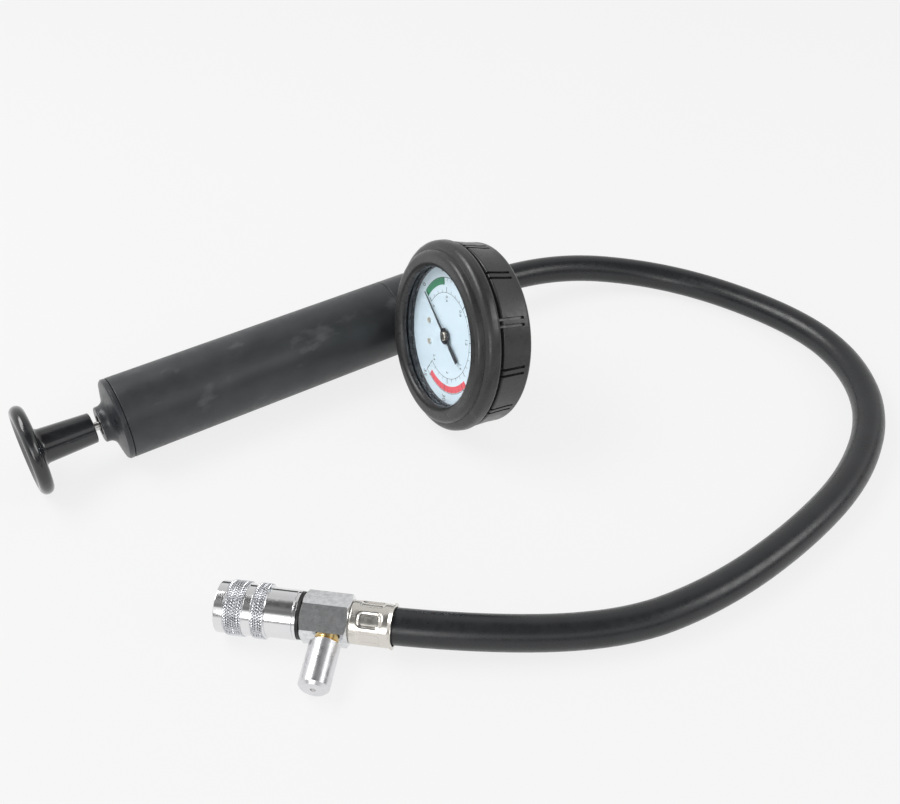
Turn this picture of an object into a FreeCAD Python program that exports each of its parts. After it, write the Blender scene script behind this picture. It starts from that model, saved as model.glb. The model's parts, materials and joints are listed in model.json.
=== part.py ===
import FreeCAD, Part
import math
import os
import Sketcher

# Radiator pressure tester, in millimetres
# A hand pump lies on its side. A dial gauge in a rubber boot stands on a shank that is screwed
# sideways into the pump head, and a hose runs round on the floor to a hex tee with a release
# valve and a ball-lock quick coupler.
#
# Three groups have axes of their own:
#   pump     X runs from the knob to the hose, with 0 at the front face of the barrel
#   gauge    Z points out of the dial, Y to twelve o'clock, with 0 where the shank's axis
#            crosses the dial's axis
#   fitting  X runs from the coupler's mouth to the hose, with 0 at the mouth
# Z is up in the finished model, and the floor is Z = 0.

doc = FreeCAD.newDocument("RadiatorPressureTester")
sheet = doc.addObject("Spreadsheet::Sheet", "Sizes")
V = FreeCAD.Vector

SIZES = [
    ("barrel_r", 23.0, "outer radius of the barrel"),
    ("barrel_bore_r", 20.5, "bore radius of the barrel"),
    ("barrel_len", 170.0, "length of the barrel tube"),
    ("slip", 0.06, "running clearance of a sliding fit, on the radius"),
    ("seat", 0.05, "clearance of a screwed or glued fit, on the radius"),
    ("disc_r", 25.0, "radius of the knob's disc"),
    ("rim_r", 3.75, "radius of the knob's half-round rim"),
    ("dish_depth", 2.2, "depth of the dish in the knob's face"),
    ("stem_len", 29.5, "knob stem, from the disc to its end"),
    ("stem_root_r", 9.8, "stem radius beside the disc"),
    ("stem_end_r", 8.4, "stem radius at its end"),
    ("knob_gap", 3.6, "gap between the pushed-in knob and the cap"),
    ("insert_r", 4.6, "radius of the brass insert in the knob"),
    ("insert_len", 16.0, "length of the brass insert"),
    ("rod_r", 2.5, "radius of the pump rod"),
    ("cap_flange", 3.0, "thickness of the cap's rim"),
    ("cap_boss_r", 10.0, "radius of the cap's boss"),
    ("cap_boss_len", 8.0, "height of the boss over the rim"),
    ("cap_plug_len", 12.0, "how far the cap goes into the barrel"),
    ("cap_wall", 2.6, "wall of the cap"),
    ("vent_r", 1.5, "radius of the vent hole"),
    ("vent_at", 15.5, "distance of the vent hole from the axis"),
    ("vent_turn", 82.0, "clock angle of the vent hole"),
    ("guide_r", 5.5, "radius of the rod guide bush"),
    ("guide_len", 22.0, "length of the rod guide bush"),
    ("piston_at", 137.0, "front face of the piston plate when pushed in"),
    ("plate_len", 8.0, "thickness of the piston plate"),
    ("cup_len", 10.0, "length of the cup seal"),
    ("cup_wall", 2.5, "wall of the cup seal"),
    ("cup_washer_r", 13.0, "radius of the washer in the cup"),
    ("nut_flat", 8.0, "width across flats of the piston nut"),
    ("nut_len", 4.0, "thickness of the piston nut"),
    ("head_len", 20.0, "length of the head beyond the barrel"),
    ("head_plug_len", 10.0, "how far the head goes into the barrel"),
    ("ring_r", 1.25, "section radius of the head O-ring"),
    ("inlet_r", 1.8, "radius of the valve inlet"),
    ("chamber_r", 5.2, "radius of the valve chamber"),
    ("chamber_len", 11.5, "length of the valve chamber"),
    ("poppet_r", 4.4, "radius of the check valve poppet"),
    ("retainer_len", 2.6, "thickness of the valve retainer"),
    ("gallery_r", 2.5, "radius of the passages in the head"),
    ("port_r", 6.5, "thread radius of the gauge shank"),
    ("port_len", 11.0, "length of thread on the gauge shank"),
    ("port_flat", 22.0, "height of the flat seat of the gauge port"),
    ("port_at", 180.0, "place of the gauge port along the pump"),
    ("nipple_flat", 17.0, "width across flats of the hose nipple"),
    ("nipple_hex_len", 5.0, "length of the nipple's hexagon"),
    ("nipple_thread_r", 5.0, "thread radius of the nipple"),
    ("nipple_thread_len", 6.0, "thread length of the nipple"),
    ("hose_r", 8.5, "outer radius of the hose"),
    ("hose_bore_r", 4.5, "bore radius of the hose"),
    ("ferrule_len", 20.0, "length of a crimped ferrule"),
    ("ferrule_wall", 1.4, "wall of a crimped ferrule"),
    ("gauge_arm", 78.0, "from the pump's axis to the gauge's centre"),
    ("gauge_turn", 13.5, "how far the dial is turned about its shank"),
    ("boot_r", 50.0, "radius of the boot's ribbed band"),
    ("lip_r", 53.0, "outer radius of the boot's lip"),
    ("lip_over", 2.2, "rubber of the lip in front of the bezel"),
    ("lip_hole_r", 42.4, "inner radius of the boot's lip"),
    ("groove_at", 8.6, "place of the groove behind the lip"),
    ("boot_back", -10.2, "back of the boot"),
    ("boot_back_hole_r", 36.0, "radius of the opening in the boot's back"),
    ("rib_wide", 2.6, "distance between the two grooves of a rib"),
    ("rib_cut", 1.0, "width and depth of a rib's groove"),
    ("rib_len", 13.5, "length of a rib"),
    ("case_r", 42.0, "outer radius of the gauge case"),
    ("case_wall", 0.8, "sheet thickness of the gauge case"),
    ("case_back", -9.5, "back of the gauge case"),
    ("case_front", 14.8, "front edge of the gauge case"),
    ("lens_thick", 2.0, "thickness of the lens"),
    ("gasket_thick", 0.5, "thickness of the lens gasket"),
    ("bezel_r", 43.4, "outer radius of the bezel ring"),
    ("bezel_hole_r", 39.6, "inner radius of the bezel ring"),
    ("bezel_thick", 0.8, "thickness of the bezel's flange"),
    ("bezel_skirt", 3.5, "how far the bezel grips the case"),
    ("dial_r", 40.6, "radius of the dial plate"),
    ("dial_at", 11.4, "back face of the dial plate"),
    ("dial_thick", 0.6, "thickness of the dial plate"),
    ("pointer_at", 13.4, "back face of the pointer"),
    ("pointer_len", 31.0, "reach of the pointer"),
    ("pointer_thick", 0.4, "thickness of the pointer"),
    ("hub_r", 3.0, "radius of the pointer's hub"),
    ("tail_len", 17.0, "reach of the pointer's tail"),
    ("zero_angle", 225.0, "angle of the zero mark, from three o'clock"),
    ("module", 0.4, "module of the gear teeth"),
    ("pinion_teeth", 12.0, "teeth on the pinion"),
    ("sector_teeth", 78.0, "teeth of the whole wheel that the sector is cut from"),
    ("sector_cut", 13.0, "teeth on the sector"),
    ("arbor_r", 0.8, "radius of the arbors"),
    ("pivot_angle", -60.0, "direction of the sector's pivot from the dial's centre"),
    ("plate_back", -2.2, "back of the movement's back plate"),
    ("plate_thick", 1.2, "thickness of a movement plate"),
    ("plate_gap", 6.0, "gap between the movement plates"),
    ("tube_path_r", 28.7, "radius of the Bourdon tube's curve"),
    ("tube_wide", 7.0, "width of the Bourdon tube"),
    ("tube_thick", 2.4, "thickness of the Bourdon tube"),
    ("tube_wall", 0.35, "wall of the Bourdon tube"),
    ("shank_flat", 14.0, "width across flats of the gauge shank"),
    ("block_wide", 16.0, "width of the socket's block"),
    ("block_out", 38.0, "outer end of the socket's block"),
    ("block_in", 25.0, "inner end of the socket's block"),
    ("tongue_in", 8.0, "inner end of the socket's tongue"),
    ("block_front", 5.5, "front of the socket's block"),
    ("washer_thick", 1.0, "thickness of the shank's sealing washer"),
    ("ferrule_flare", 0.6, "flare of a ferrule's lip"),
    ("ferrule_end", 1.2, "thickness of a ferrule's end wall"),
    ("tee_flat", 21.0, "width across flats of the hex tee"),
    ("tee_len", 22.3, "length of the hex tee"),
    ("seal_len", 2.7, "length of the black sealing ring"),
    ("coupler_r", 11.4, "radius of the smooth part of the coupler"),
    ("coupler_len", 37.0, "length of the coupler"),
    ("sleeve_r", 12.75, "radius of the knurled sleeve"),
    ("sleeve_len", 24.0, "length of the knurled sleeve"),
    ("sleeve_travel", 4.0, "travel of the sleeve"),
    ("socket_r", 6.05, "bore radius of the coupler"),
    ("nose_r", 8.6, "outer radius of the coupler's nose"),
    ("ball_r", 1.75, "radius of a lock ball"),
    ("ball_at", 7.3, "place of the lock balls behind the mouth"),
    ("ball_count", 6.0, "number of lock balls"),
    ("cap_r", 7.2, "outer radius of the release cap"),
    ("cap_len", 22.0, "length of the release cap"),
    ("valve_at", 52.5, "place of the release valve along the fitting"),
    ("valve_show", 2.5, "brass that shows under the release cap"),
    ("valve_stem_r", 5.0, "radius of the release valve's body"),
    ("press_travel", 1.5, "travel of the release cap"),
    ("fitting_x", -2.9, "place of the coupler's mouth, before the origin is moved"),
    ("fitting_y", -143.8, "place of the coupler's mouth, before the origin is moved"),
    ("fitting_turn", -42.3, "direction of the fitting on the floor, from the pump's X"),
    ("origin_x", 81.65, "from the barrel's front face to the origin"),
    ("origin_y", -49.95, "from the pump's axis to the origin"),
]


class Size:
    """A number that remembers its formula, so one expression both places and binds a point."""

    def __init__(self, value, text=None):
        self.value = float(value)
        self.text = text or repr(float(value))

    def joined(self, other, sign, value):
        return Size(value, "(" + self.text + " " + sign + " " + as_size(other).text + ")")

    def __add__(self, other):
        return self.joined(other, "+", self.value + float(other))

    def __sub__(self, other):
        return self.joined(other, "-", self.value - float(other))

    def __mul__(self, other):
        return self.joined(other, "*", self.value * float(other))

    def __truediv__(self, other):
        return self.joined(other, "/", self.value / float(other))

    def __radd__(self, other):
        return as_size(other) + self

    def __rsub__(self, other):
        return as_size(other) - self

    def __rmul__(self, other):
        return as_size(other) * self

    def __neg__(self):
        return Size(-self.value, "(0 - " + self.text + ")")

    def __float__(self):
        return self.value


def as_size(x):
    return x if isinstance(x, Size) else Size(x)


class SizeTable:
    """The driving dimensions by name, as numbers that are bound to the sheet's cells."""


S = SizeTable()
for row, (alias, value, meaning) in enumerate(SIZES, start=1):
    sheet.set("A%d" % row, meaning)
    sheet.set("B%d" % row, repr(value))
    sheet.setAlias("B%d" % row, alias)
    setattr(S, alias, Size(value, "Sizes." + alias))
doc.recompute()

pieces = []


def keep(item, label, group):
    """Gives a finished piece its name and the group whose place it takes."""
    item.Label = label
    pieces.append((item, group))
    return item


def plane_of(body, role):
    return [f for f in body.Origin.OriginFeatures if f.Role == role][0]


def bind(item, prop, size):
    item.setExpression(prop, as_size(size).text)


def arc_through(a, b, radius):
    """The arc from a to b. A positive radius turns left on the way, a negative one right."""
    mid = (a + b) * 0.5
    chord = b - a
    left = V(-chord.y, chord.x, 0).normalize()
    rise = math.sqrt(max(radius ** 2 - (chord.Length / 2) ** 2, 0))
    side = 1 if radius > 0 else -1
    centre = mid + left * (rise * side)
    top = centre - left * (abs(radius) * side)
    return Part.Arc(a, top, b)


def draw(body, label, role, corners, lift=None):
    """A closed outline whose corners are bound to the sheet. A corner (x, y) starts a straight
    edge, and (x, y, radius) starts an arc to the next corner."""
    sketch = body.newObject("Sketcher::SketchObject", label)
    sketch.AttachmentSupport = [(plane_of(body, role), "")]
    sketch.MapMode = "FlatFace"
    if lift is not None:
        bind(sketch, "AttachmentOffset.Base.z", lift)
    spots = [V(float(c[0]), float(c[1]), 0) for c in corners]
    starts = []
    ends = []
    for i, corner in enumerate(corners):
        a = spots[i]
        b = spots[(i + 1) % len(spots)]
        if len(corner) == 3:
            sketch.addGeometry(arc_through(a, b, float(corner[2])))
            turned_left = float(corner[2]) > 0
            starts.append(1 if turned_left else 2)
            ends.append(2 if turned_left else 1)
        else:
            sketch.addGeometry(Part.LineSegment(a, b))
            starts.append(1)
            ends.append(2)
    for i in range(len(corners)):
        j = (i + 1) % len(corners)
        sketch.addConstraint(Sketcher.Constraint("Coincident", i, ends[i], j, starts[j]))
    for i, corner in enumerate(corners):
        for kind, size in (("DistanceX", corner[0]), ("DistanceY", corner[1])):
            index = sketch.addConstraint(
                Sketcher.Constraint(kind, -1, 1, i, starts[i], float(size)))
            sketch.setExpression("Constraints[%d]" % index, as_size(size).text)
        if len(corner) == 3:
            radius = corner[2] if float(corner[2]) > 0 else -corner[2]
            index = sketch.addConstraint(Sketcher.Constraint("Radius", i, float(radius)))
            sketch.setExpression("Constraints[%d]" % index, as_size(radius).text)
    return sketch


def turned(label, corners, role="XZ_Plane"):
    """A turned piece: the outline (along, radius) goes once round the X axis. On YZ_Plane the
    outline is (radius, along) and goes round the Z axis."""
    body = doc.addObject("PartDesign::Body", label + "_body")
    sketch = draw(body, label + "_outline", role, corners)
    turn = body.newObject("PartDesign::Revolution", label + "_turn")
    turn.Profile = sketch
    turn.ReferenceAxis = (sketch, ["H_Axis" if role == "XZ_Plane" else "V_Axis"])
    turn.Angle = 360
    doc.recompute()
    return body


def o_ring(label, mean_r, section_r, at):
    """A round-section ring about the X axis, drawn by four quarter arcs."""
    return turned(label, [
        (at - section_r, mean_r, -section_r),
        (at, mean_r + section_r, -section_r),
        (at + section_r, mean_r, -section_r),
        (at, mean_r - section_r, -section_r),
    ])


def padded(label, role, corners, length, lift=None, both=False):
    """A plate: the outline, made thick along the plane's normal."""
    body = doc.addObject("PartDesign::Body", label + "_body")
    sketch = draw(body, label + "_outline", role, corners, lift)
    pad = body.newObject("PartDesign::Pad", label + "_pad")
    pad.Profile = sketch
    bind(pad, "Length", length)
    pad.Midplane = both
    doc.recompute()
    return body


def cylinder(label, radius, length, at, direction):
    """A round bar from a point along a direction."""
    bar = doc.addObject("Part::Cylinder", label)
    bind(bar, "Radius", radius)
    bind(bar, "Height", length)
    bar.Placement = FreeCAD.Placement(V(0, 0, 0), FreeCAD.Rotation(V(0, 0, 1), V(*direction)))
    for axis, size in zip("xyz", at):
        bind(bar, "Placement.Base." + axis, size)
    return bar


def prism(label, across_flats, length, at, direction, sides=6):
    """A hexagonal or square bar from a point along a direction."""
    bar = doc.addObject("Part::Prism", label)
    bar.Polygon = sides
    bind(bar, "Circumradius", as_size(across_flats) / (2 * math.cos(math.pi / sides)))
    bind(bar, "Height", length)
    turn = FreeCAD.Rotation(V(0, 0, 1), 180.0 / sides)
    bar.Placement = FreeCAD.Placement(
        V(0, 0, 0), FreeCAD.Rotation(V(0, 0, 1), V(*direction)).multiply(turn))
    for axis, size in zip("xyz", at):
        bind(bar, "Placement.Base." + axis, size)
    return bar


def fuse(label, items):
    whole = doc.addObject("Part::MultiFuse", label + "_whole")
    whole.Shapes = items
    doc.recompute()
    return whole


def cut(label, base, tools):
    tool = tools[0] if len(tools) == 1 else fuse(label + "_tools", tools)
    rest = doc.addObject("Part::Cut", label + "_cut")
    rest.Base = base
    rest.Tool = tool
    doc.recompute()
    return rest


def common(label, base, tool):
    both = doc.addObject("Part::Common", label + "_common")
    both.Base = base
    both.Tool = tool
    doc.recompute()
    return both


def made(label, shape, group):
    """A piece whose form needs its own code, such as teeth or a coil."""
    item = doc.addObject("Part::Feature", label + "_form")
    item.Shape = shape
    return keep(item, label, group)


X = (1, 0, 0)
Y = (0, 1, 0)
Z = (0, 0, 1)
BACK = (-1, 0, 0)
DOWN = (0, -1, 0)

# Knob and rod
# The rod's shoulder stops at the guide when the knob is pulled right out.
boss_end = -(S.cap_flange + S.cap_boss_len)
stem_end = boss_end - S.knob_gap
disc_back = stem_end - S.stem_len
rim_mid = disc_back - S.rim_r
knob_face = rim_mid - S.rim_r
rim_at = S.disc_r - S.rim_r
fillet = Size(3.0)
knob = turned("handle_knob", [
    (stem_end - S.insert_len, S.insert_r),
    (stem_end, S.insert_r),
    (stem_end, S.stem_end_r),
    (disc_back + fillet, S.stem_root_r, -fillet),
    (disc_back, S.stem_root_r + fillet),
    (disc_back, rim_at, S.rim_r),
    (rim_mid, S.disc_r, S.rim_r),
    (knob_face, rim_at),
    (knob_face + S.dish_depth, rim_at - S.rim_r * 1.6),
    (knob_face + S.dish_depth, 0),
    (stem_end - S.insert_len, 0),
])
keep(knob, "handle_knob", "pump")

rod_head = stem_end - S.insert_len + 1.0
insert = turned("knob_insert", [
    (stem_end - S.insert_len, 0),
    (stem_end - S.insert_len, S.insert_r),
    (stem_end - S.insert_len * 0.62, S.insert_r),
    (stem_end - S.insert_len * 0.56, S.insert_r - 0.7),
    (stem_end - S.insert_len * 0.44, S.insert_r - 0.7),
    (stem_end - S.insert_len * 0.38, S.insert_r),
    (stem_end, S.insert_r),
    (stem_end, S.rod_r),
    (rod_head, S.rod_r),
    (rod_head, 0),
])
keep(insert, "knob_insert", "pump")

nut_front = S.piston_at + S.plate_len + S.cup_wall + 2.0
rod_end = nut_front + S.nut_len + 2.5
shoulder = Size(3.0)
rod = turned("pump_rod", [
    (rod_head, 0),
    (rod_head, S.rod_r),
    (S.piston_at - shoulder, S.rod_r),
    (S.piston_at - shoulder, S.rod_r + 2.0),
    (S.piston_at, S.rod_r + 2.0),
    (S.piston_at, S.rod_r),
    (rod_end - 0.6, S.rod_r),
    (rod_end, S.rod_r - 0.6),
    (rod_end, 0),
])
keep(rod, "pump_rod", "pump")

# End cap
# The boss flows into the rim by a concave neck, and the plug fits the barrel's bore.
neck = Size(5.0)
plug_r = S.barrel_bore_r - S.seat
cap_blank = turned("end_cap", [
    (boss_end, S.guide_r),
    (boss_end, S.cap_boss_r - 0.6),
    (boss_end + 0.6, S.cap_boss_r),
    (boss_end + 2.6, S.cap_boss_r, neck),
    (boss_end + 6.4, S.cap_boss_r + 3.4),
    (-S.cap_flange, S.barrel_r - 0.8),
    (-S.cap_flange + 0.8, S.barrel_r),
    (-0.5, S.barrel_r),
    (0, S.barrel_r - 0.5),
    (0, plug_r),
    (S.cap_plug_len, plug_r),
    (S.cap_plug_len, plug_r - S.cap_wall),
    (0, plug_r - S.cap_wall),
    (0, S.guide_r + S.cap_wall),
    (S.cap_plug_len - 3.0, S.guide_r + S.cap_wall),
    (S.cap_plug_len - 3.0, S.guide_r),
])
turn = float(S.vent_turn) * math.pi / 180
vent = cylinder("vent", S.vent_r, S.cap_flange + S.cap_boss_len,
                (boss_end, S.vent_at * math.cos(turn), S.vent_at * math.sin(turn)), X)
keep(cut("end_cap", cap_blank, [vent]), "end_cap", "pump")

guide_start = boss_end + 0.8
guide = turned("rod_guide", [
    (guide_start, S.rod_r + S.slip),
    (guide_start, S.guide_r),
    (S.cap_plug_len - 3.0, S.guide_r),
    (S.cap_plug_len - 3.0, S.guide_r + 2.0),
    (guide_start + S.guide_len, S.guide_r + 2.0),
    (guide_start + S.guide_len, S.rod_r + S.slip),
])
keep(guide, "rod_guide", "pump")

# Barrel
# Both mouths have a small bevel, and the pale line at the cap is the gap between two bevels.
barrel = turned("barrel_tube", [
    (0, S.barrel_bore_r),
    (0, S.barrel_r - 0.5),
    (0.5, S.barrel_r),
    (S.barrel_len - 0.5, S.barrel_r),
    (S.barrel_len, S.barrel_r - 0.5),
    (S.barrel_len, S.barrel_bore_r),
])
keep(barrel, "barrel_tube", "pump")

# Piston
# The plate guides the piston, and the cup's lip opens towards the head and holds the pressure.
plate_end = S.piston_at + S.plate_len
plate = turned("piston_plate", [
    (S.piston_at, S.rod_r),
    (S.piston_at, S.barrel_bore_r - 1.3),
    (S.piston_at + 1.0, S.barrel_bore_r - 0.3),
    (S.piston_at + 2.6, S.barrel_bore_r - 0.3),
    (S.piston_at + 2.6, S.barrel_bore_r - 2.3),
    (plate_end - 2.6, S.barrel_bore_r - 2.3),
    (plate_end - 2.6, S.barrel_bore_r - 0.3),
    (plate_end, S.barrel_bore_r - 0.3),
    (plate_end, S.rod_r),
])
keep(plate, "piston_plate", "pump")

cup_end = plate_end + S.cup_len
cup_r = S.barrel_bore_r - S.slip
cup = turned("cup_seal", [
    (plate_end, S.rod_r),
    (plate_end, cup_r - 1.2),
    (plate_end + 1.2, cup_r - 0.3),
    (cup_end - 2.0, cup_r),
    (cup_end, cup_r),
    (cup_end, cup_r - 1.0),
    (plate_end + S.cup_wall + 1.0, cup_r - S.cup_wall),
    (plate_end + S.cup_wall, cup_r - S.cup_wall - 1.0),
    (plate_end + S.cup_wall, S.rod_r),
])
keep(cup, "cup_seal", "pump")

cup_washer = turned("cup_washer", [
    (plate_end + S.cup_wall, S.rod_r),
    (plate_end + S.cup_wall, S.cup_washer_r),
    (nut_front, S.cup_washer_r),
    (nut_front, S.rod_r),
])
keep(cup_washer, "cup_washer", "pump")

nut_block = prism("nut_block", S.nut_flat, S.nut_len, (nut_front, 0, 0), X)
nut_hole = cylinder("nut_hole", S.rod_r, S.nut_len, (nut_front, 0, 0), X)
keep(cut("piston_nut", nut_block, [nut_hole]), "piston_nut", "pump")

# Pump head
# The plug carries the O-ring and the check valve. The passage behind the valve meets the gauge
# port from the side and leads on to the hose nipple.
head_face = S.barrel_len - S.head_plug_len
head_end = S.barrel_len + S.head_len
valve_seat_at = head_face + 2.5
chamber_end = valve_seat_at + S.chamber_len
ring_at = head_face + 5.0
ring_bed = S.barrel_bore_r - S.ring_r * 2 - S.seat
nipple_start = head_end - S.nipple_thread_len
head_blank = turned("pump_head", [
    (head_face, S.inlet_r),
    (head_face, plug_r - 0.8),
    (head_face + 0.8, plug_r),
    (ring_at - S.ring_r - 0.3, plug_r),
    (ring_at - S.ring_r - 0.3, ring_bed),
    (ring_at + S.ring_r + 0.3, ring_bed),
    (ring_at + S.ring_r + 0.3, plug_r),
    (S.barrel_len, plug_r),
    (S.barrel_len, S.barrel_r - 0.4),
    (S.barrel_len + 0.4, S.barrel_r),
    (head_end - 2.0, S.barrel_r, Size(-2.0)),
    (head_end, S.barrel_r - 2.0),
    (head_end, S.nipple_thread_r),
    (nipple_start, S.nipple_thread_r),
    (nipple_start, S.gallery_r),
    (chamber_end, S.gallery_r),
    (chamber_end, S.chamber_r),
    (valve_seat_at, S.chamber_r),
    (valve_seat_at, S.inlet_r),
])
seat_cut = prism("seat_cut", 24.0, S.barrel_r, (S.port_at, 0, S.port_flat), Z, 4)
port_cut = cylinder("port_cut", S.port_r, S.port_len + 1.0,
                    (S.port_at, 0, S.port_flat - S.port_len - 1.0), Z)
feed_cut = cylinder("feed_cut", S.gallery_r, S.port_flat, (S.port_at, 0, 0), Z)
keep(cut("pump_head", head_blank, [seat_cut, port_cut, feed_cut]), "pump_head", "pump")

keep(o_ring("head_o_ring", S.barrel_bore_r - S.ring_r - S.seat, S.ring_r - 0.02, ring_at),
     "head_o_ring", "pump")

poppet_back = valve_seat_at + 2.6
poppet = turned("check_poppet", [
    (head_face + 1.2, 0),
    (head_face + 1.2, S.inlet_r - 0.7),
    (valve_seat_at, S.inlet_r - 0.35),
    (valve_seat_at, S.poppet_r),
    (poppet_back, S.poppet_r),
    (poppet_back, 1.3),
    (poppet_back + 2.4, 1.3),
    (poppet_back + 2.4, 0),
])
keep(poppet, "check_poppet", "pump")

retainer_at = chamber_end - S.retainer_len
retainer = turned("valve_retainer", [
    (retainer_at, S.gallery_r),
    (retainer_at, S.chamber_r),
    (chamber_end, S.chamber_r),
    (chamber_end, S.gallery_r),
])
keep(retainer, "valve_retainer", "pump")


def arc_from(start, way, end):
    """The arc that leaves a point in a direction and ends at another point."""
    chord = end - start
    along = V(chord).normalize()
    lean_in = way.getAngle(along)
    middle = start + (way + along).normalize() * (chord.Length / 2 / math.cos(lean_in / 2))
    return Part.Arc(start, middle, end).toShape()


def coil(start, length, mean_r, wire_r, turns):
    """A round-wire spring along X. Each quarter turn is two arcs that share a tangent."""
    steps = 4 * turns
    rise = (length - 2 * wire_r) / steps
    spots = []
    ways = []
    for k in range(steps + 1):
        angle = math.pi / 2 * k
        spots.append(V(start + wire_r + rise * k, mean_r * math.cos(angle), mean_r * math.sin(angle)))
        ways.append(V(rise / (math.pi / 2), -mean_r * math.sin(angle),
                      mean_r * math.cos(angle)).normalize())
    arcs = []
    for a, b, way_a, way_b in zip(spots, spots[1:], ways, ways[1:]):
        chord = b - a
        across = chord.dot(way_a + way_b)
        spread = 2 * (1 - way_a.dot(way_b))
        arm = (math.sqrt(across ** 2 + spread * chord.dot(chord)) - across) / spread
        joint = (a + b + (way_a - way_b) * arm) * 0.5
        joint_way = (b - way_b * arm - a - way_a * arm).normalize()
        arcs.append(arc_from(a, way_a, joint))
        arcs.append(arc_from(joint, joint_way, b))
    section = Part.Wire([Part.makeCircle(wire_r, spots[0], ways[0])])
    return Part.Wire(arcs).makePipeShell([section], True, False)


made("valve_spring", coil(float(poppet_back), float(retainer_at - poppet_back), 2.9, 0.35, 4),
     "pump")

# Hose nipple and ferrules
# A nipple's barbs grip the hose from inside, and the crimped ferrule holds it from outside.
nipple_face = head_end + S.nipple_hex_len
barb_r = S.hose_bore_r - S.seat
barb_len = S.ferrule_len - 1.5


def barbed_tail(start, bore_r):
    """The outline of a hose tail with three barbs, from its root to its tip and back."""
    step = barb_len / 3
    points = [(start, barb_r)]
    for k in range(3):
        root = start + step * k
        points.append((root + step * 0.3, barb_r - 0.6))
        points.append((root + step * 0.45, barb_r))
        points.append((root + step, barb_r - 0.5))
    points.append((start + barb_len, bore_r))
    return points


tail = turned("nipple_tail", [
    (nipple_start, S.gallery_r),
    (nipple_start, S.nipple_thread_r - S.seat),
    (head_end, S.nipple_thread_r - S.seat),
    (head_end, S.nipple_flat / 2 - 0.5),
    (nipple_face, S.nipple_flat / 2 - 0.5),
] + barbed_tail(nipple_face, S.gallery_r))
nipple_hex = prism("nipple_hex", S.nipple_flat, S.nipple_hex_len, (head_end, 0, 0), X)
nipple_bore = cylinder("nipple_bore", S.gallery_r, S.nipple_hex_len, (head_end, 0, 0), X)
hex_ring = cut("nipple_hex_ring", nipple_hex, [nipple_bore])
keep(fuse("hose_nipple", [tail, hex_ring]), "hose_nipple", "pump")

ferrule_r = S.hose_r + S.ferrule_wall


def ferrule(label, start, group):
    """A crimped sleeve: an end wall at the nipple, six dents, and a flared lip at the hose."""
    end = start + S.ferrule_len
    inner = S.hose_r + S.seat
    sleeve = turned(label, [
        (start, barb_r + S.seat),
        (start, ferrule_r - 0.6),
        (start + 0.6, ferrule_r),
        (end - 2.2, ferrule_r, Size(5.0)),
        (end - 0.4, ferrule_r + S.ferrule_flare),
        (end, ferrule_r + S.ferrule_flare - 0.3),
        (end, inner),
        (start + S.ferrule_end, inner),
        (start + S.ferrule_end, barb_r + S.seat),
    ])
    dents = []
    for k in range(6):
        turn = math.radians(60 * k + 30)
        dents.append(cylinder(
            label + "_dent%d" % k, 3.2, 4.0,
            (start + S.ferrule_len / 2, (ferrule_r - 0.45) * math.cos(turn),
             (ferrule_r - 0.45) * math.sin(turn)),
            (0, math.cos(turn), math.sin(turn))))
    return keep(cut(label, sleeve, dents), label, group)


ferrule("pump_ferrule", nipple_face, "pump")

# Gauge case, lens and bezel
# From back to front: case, gasket, lens, and the bezel ring that is pressed over all three.
case_inner = S.case_r - S.case_wall
lens_at = S.case_front + S.gasket_thick
bezel_at = lens_at + S.lens_thick
bezel_front = bezel_at + S.bezel_thick
skirt_end = S.case_front - S.bezel_skirt
seat_at = S.gauge_arm - S.port_flat
shank_end = seat_at - S.washer_thick
case_cup = turned("case_cup", [
    (0, S.case_back),
    (S.case_r - 1.5, S.case_back, Size(1.5)),
    (S.case_r, S.case_back + 1.5),
    (S.case_r, S.case_front),
    (case_inner, S.case_front),
    (case_inner, S.case_back + S.case_wall),
    (0, S.case_back + S.case_wall),
], "YZ_Plane")
shank_hole = prism("shank_hole", S.shank_flat + S.seat * 2, S.case_r, (0, -case_inner / 2, 0),
                   DOWN, 4)
screw_at = S.block_in + 4.0
screw_side = Size(5.0)
case_screw_r = Size(1.25)


def along_z(label, radius, length, x, y, z):
    return cylinder(label, radius, length, (x, y, z), Z)


case_holes = [along_z("case_hole%d" % k, case_screw_r + S.seat, 2.0, side, -screw_at,
                      S.case_back - 0.5) for k, side in enumerate((screw_side, -screw_side))]
keep(cut("gauge_case", case_cup, [shank_hole] + case_holes), "gauge_case", "gauge")

gasket = turned("lens_gasket", [
    (S.bezel_hole_r + 0.6, S.case_front),
    (S.case_r - S.seat, S.case_front),
    (S.case_r - S.seat, lens_at),
    (S.bezel_hole_r + 0.6, lens_at),
], "YZ_Plane")
keep(gasket, "lens_gasket", "gauge")

lens = turned("gauge_lens", [
    (0, lens_at),
    (S.case_r - S.seat, lens_at),
    (S.case_r - S.seat, bezel_at),
    (0, bezel_at),
], "YZ_Plane")
keep(lens, "gauge_lens", "gauge")

bezel = turned("bezel_ring", [
    (S.bezel_hole_r, bezel_at),
    (S.case_r + S.seat, bezel_at),
    (S.case_r + S.seat, skirt_end),
    (S.bezel_r, skirt_end),
    (S.bezel_r, bezel_front - 0.8),
    (S.bezel_r - 0.8, bezel_front),
    (S.bezel_hole_r, bezel_front),
], "YZ_Plane")
keep(bezel, "bezel_ring", "gauge")

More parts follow.
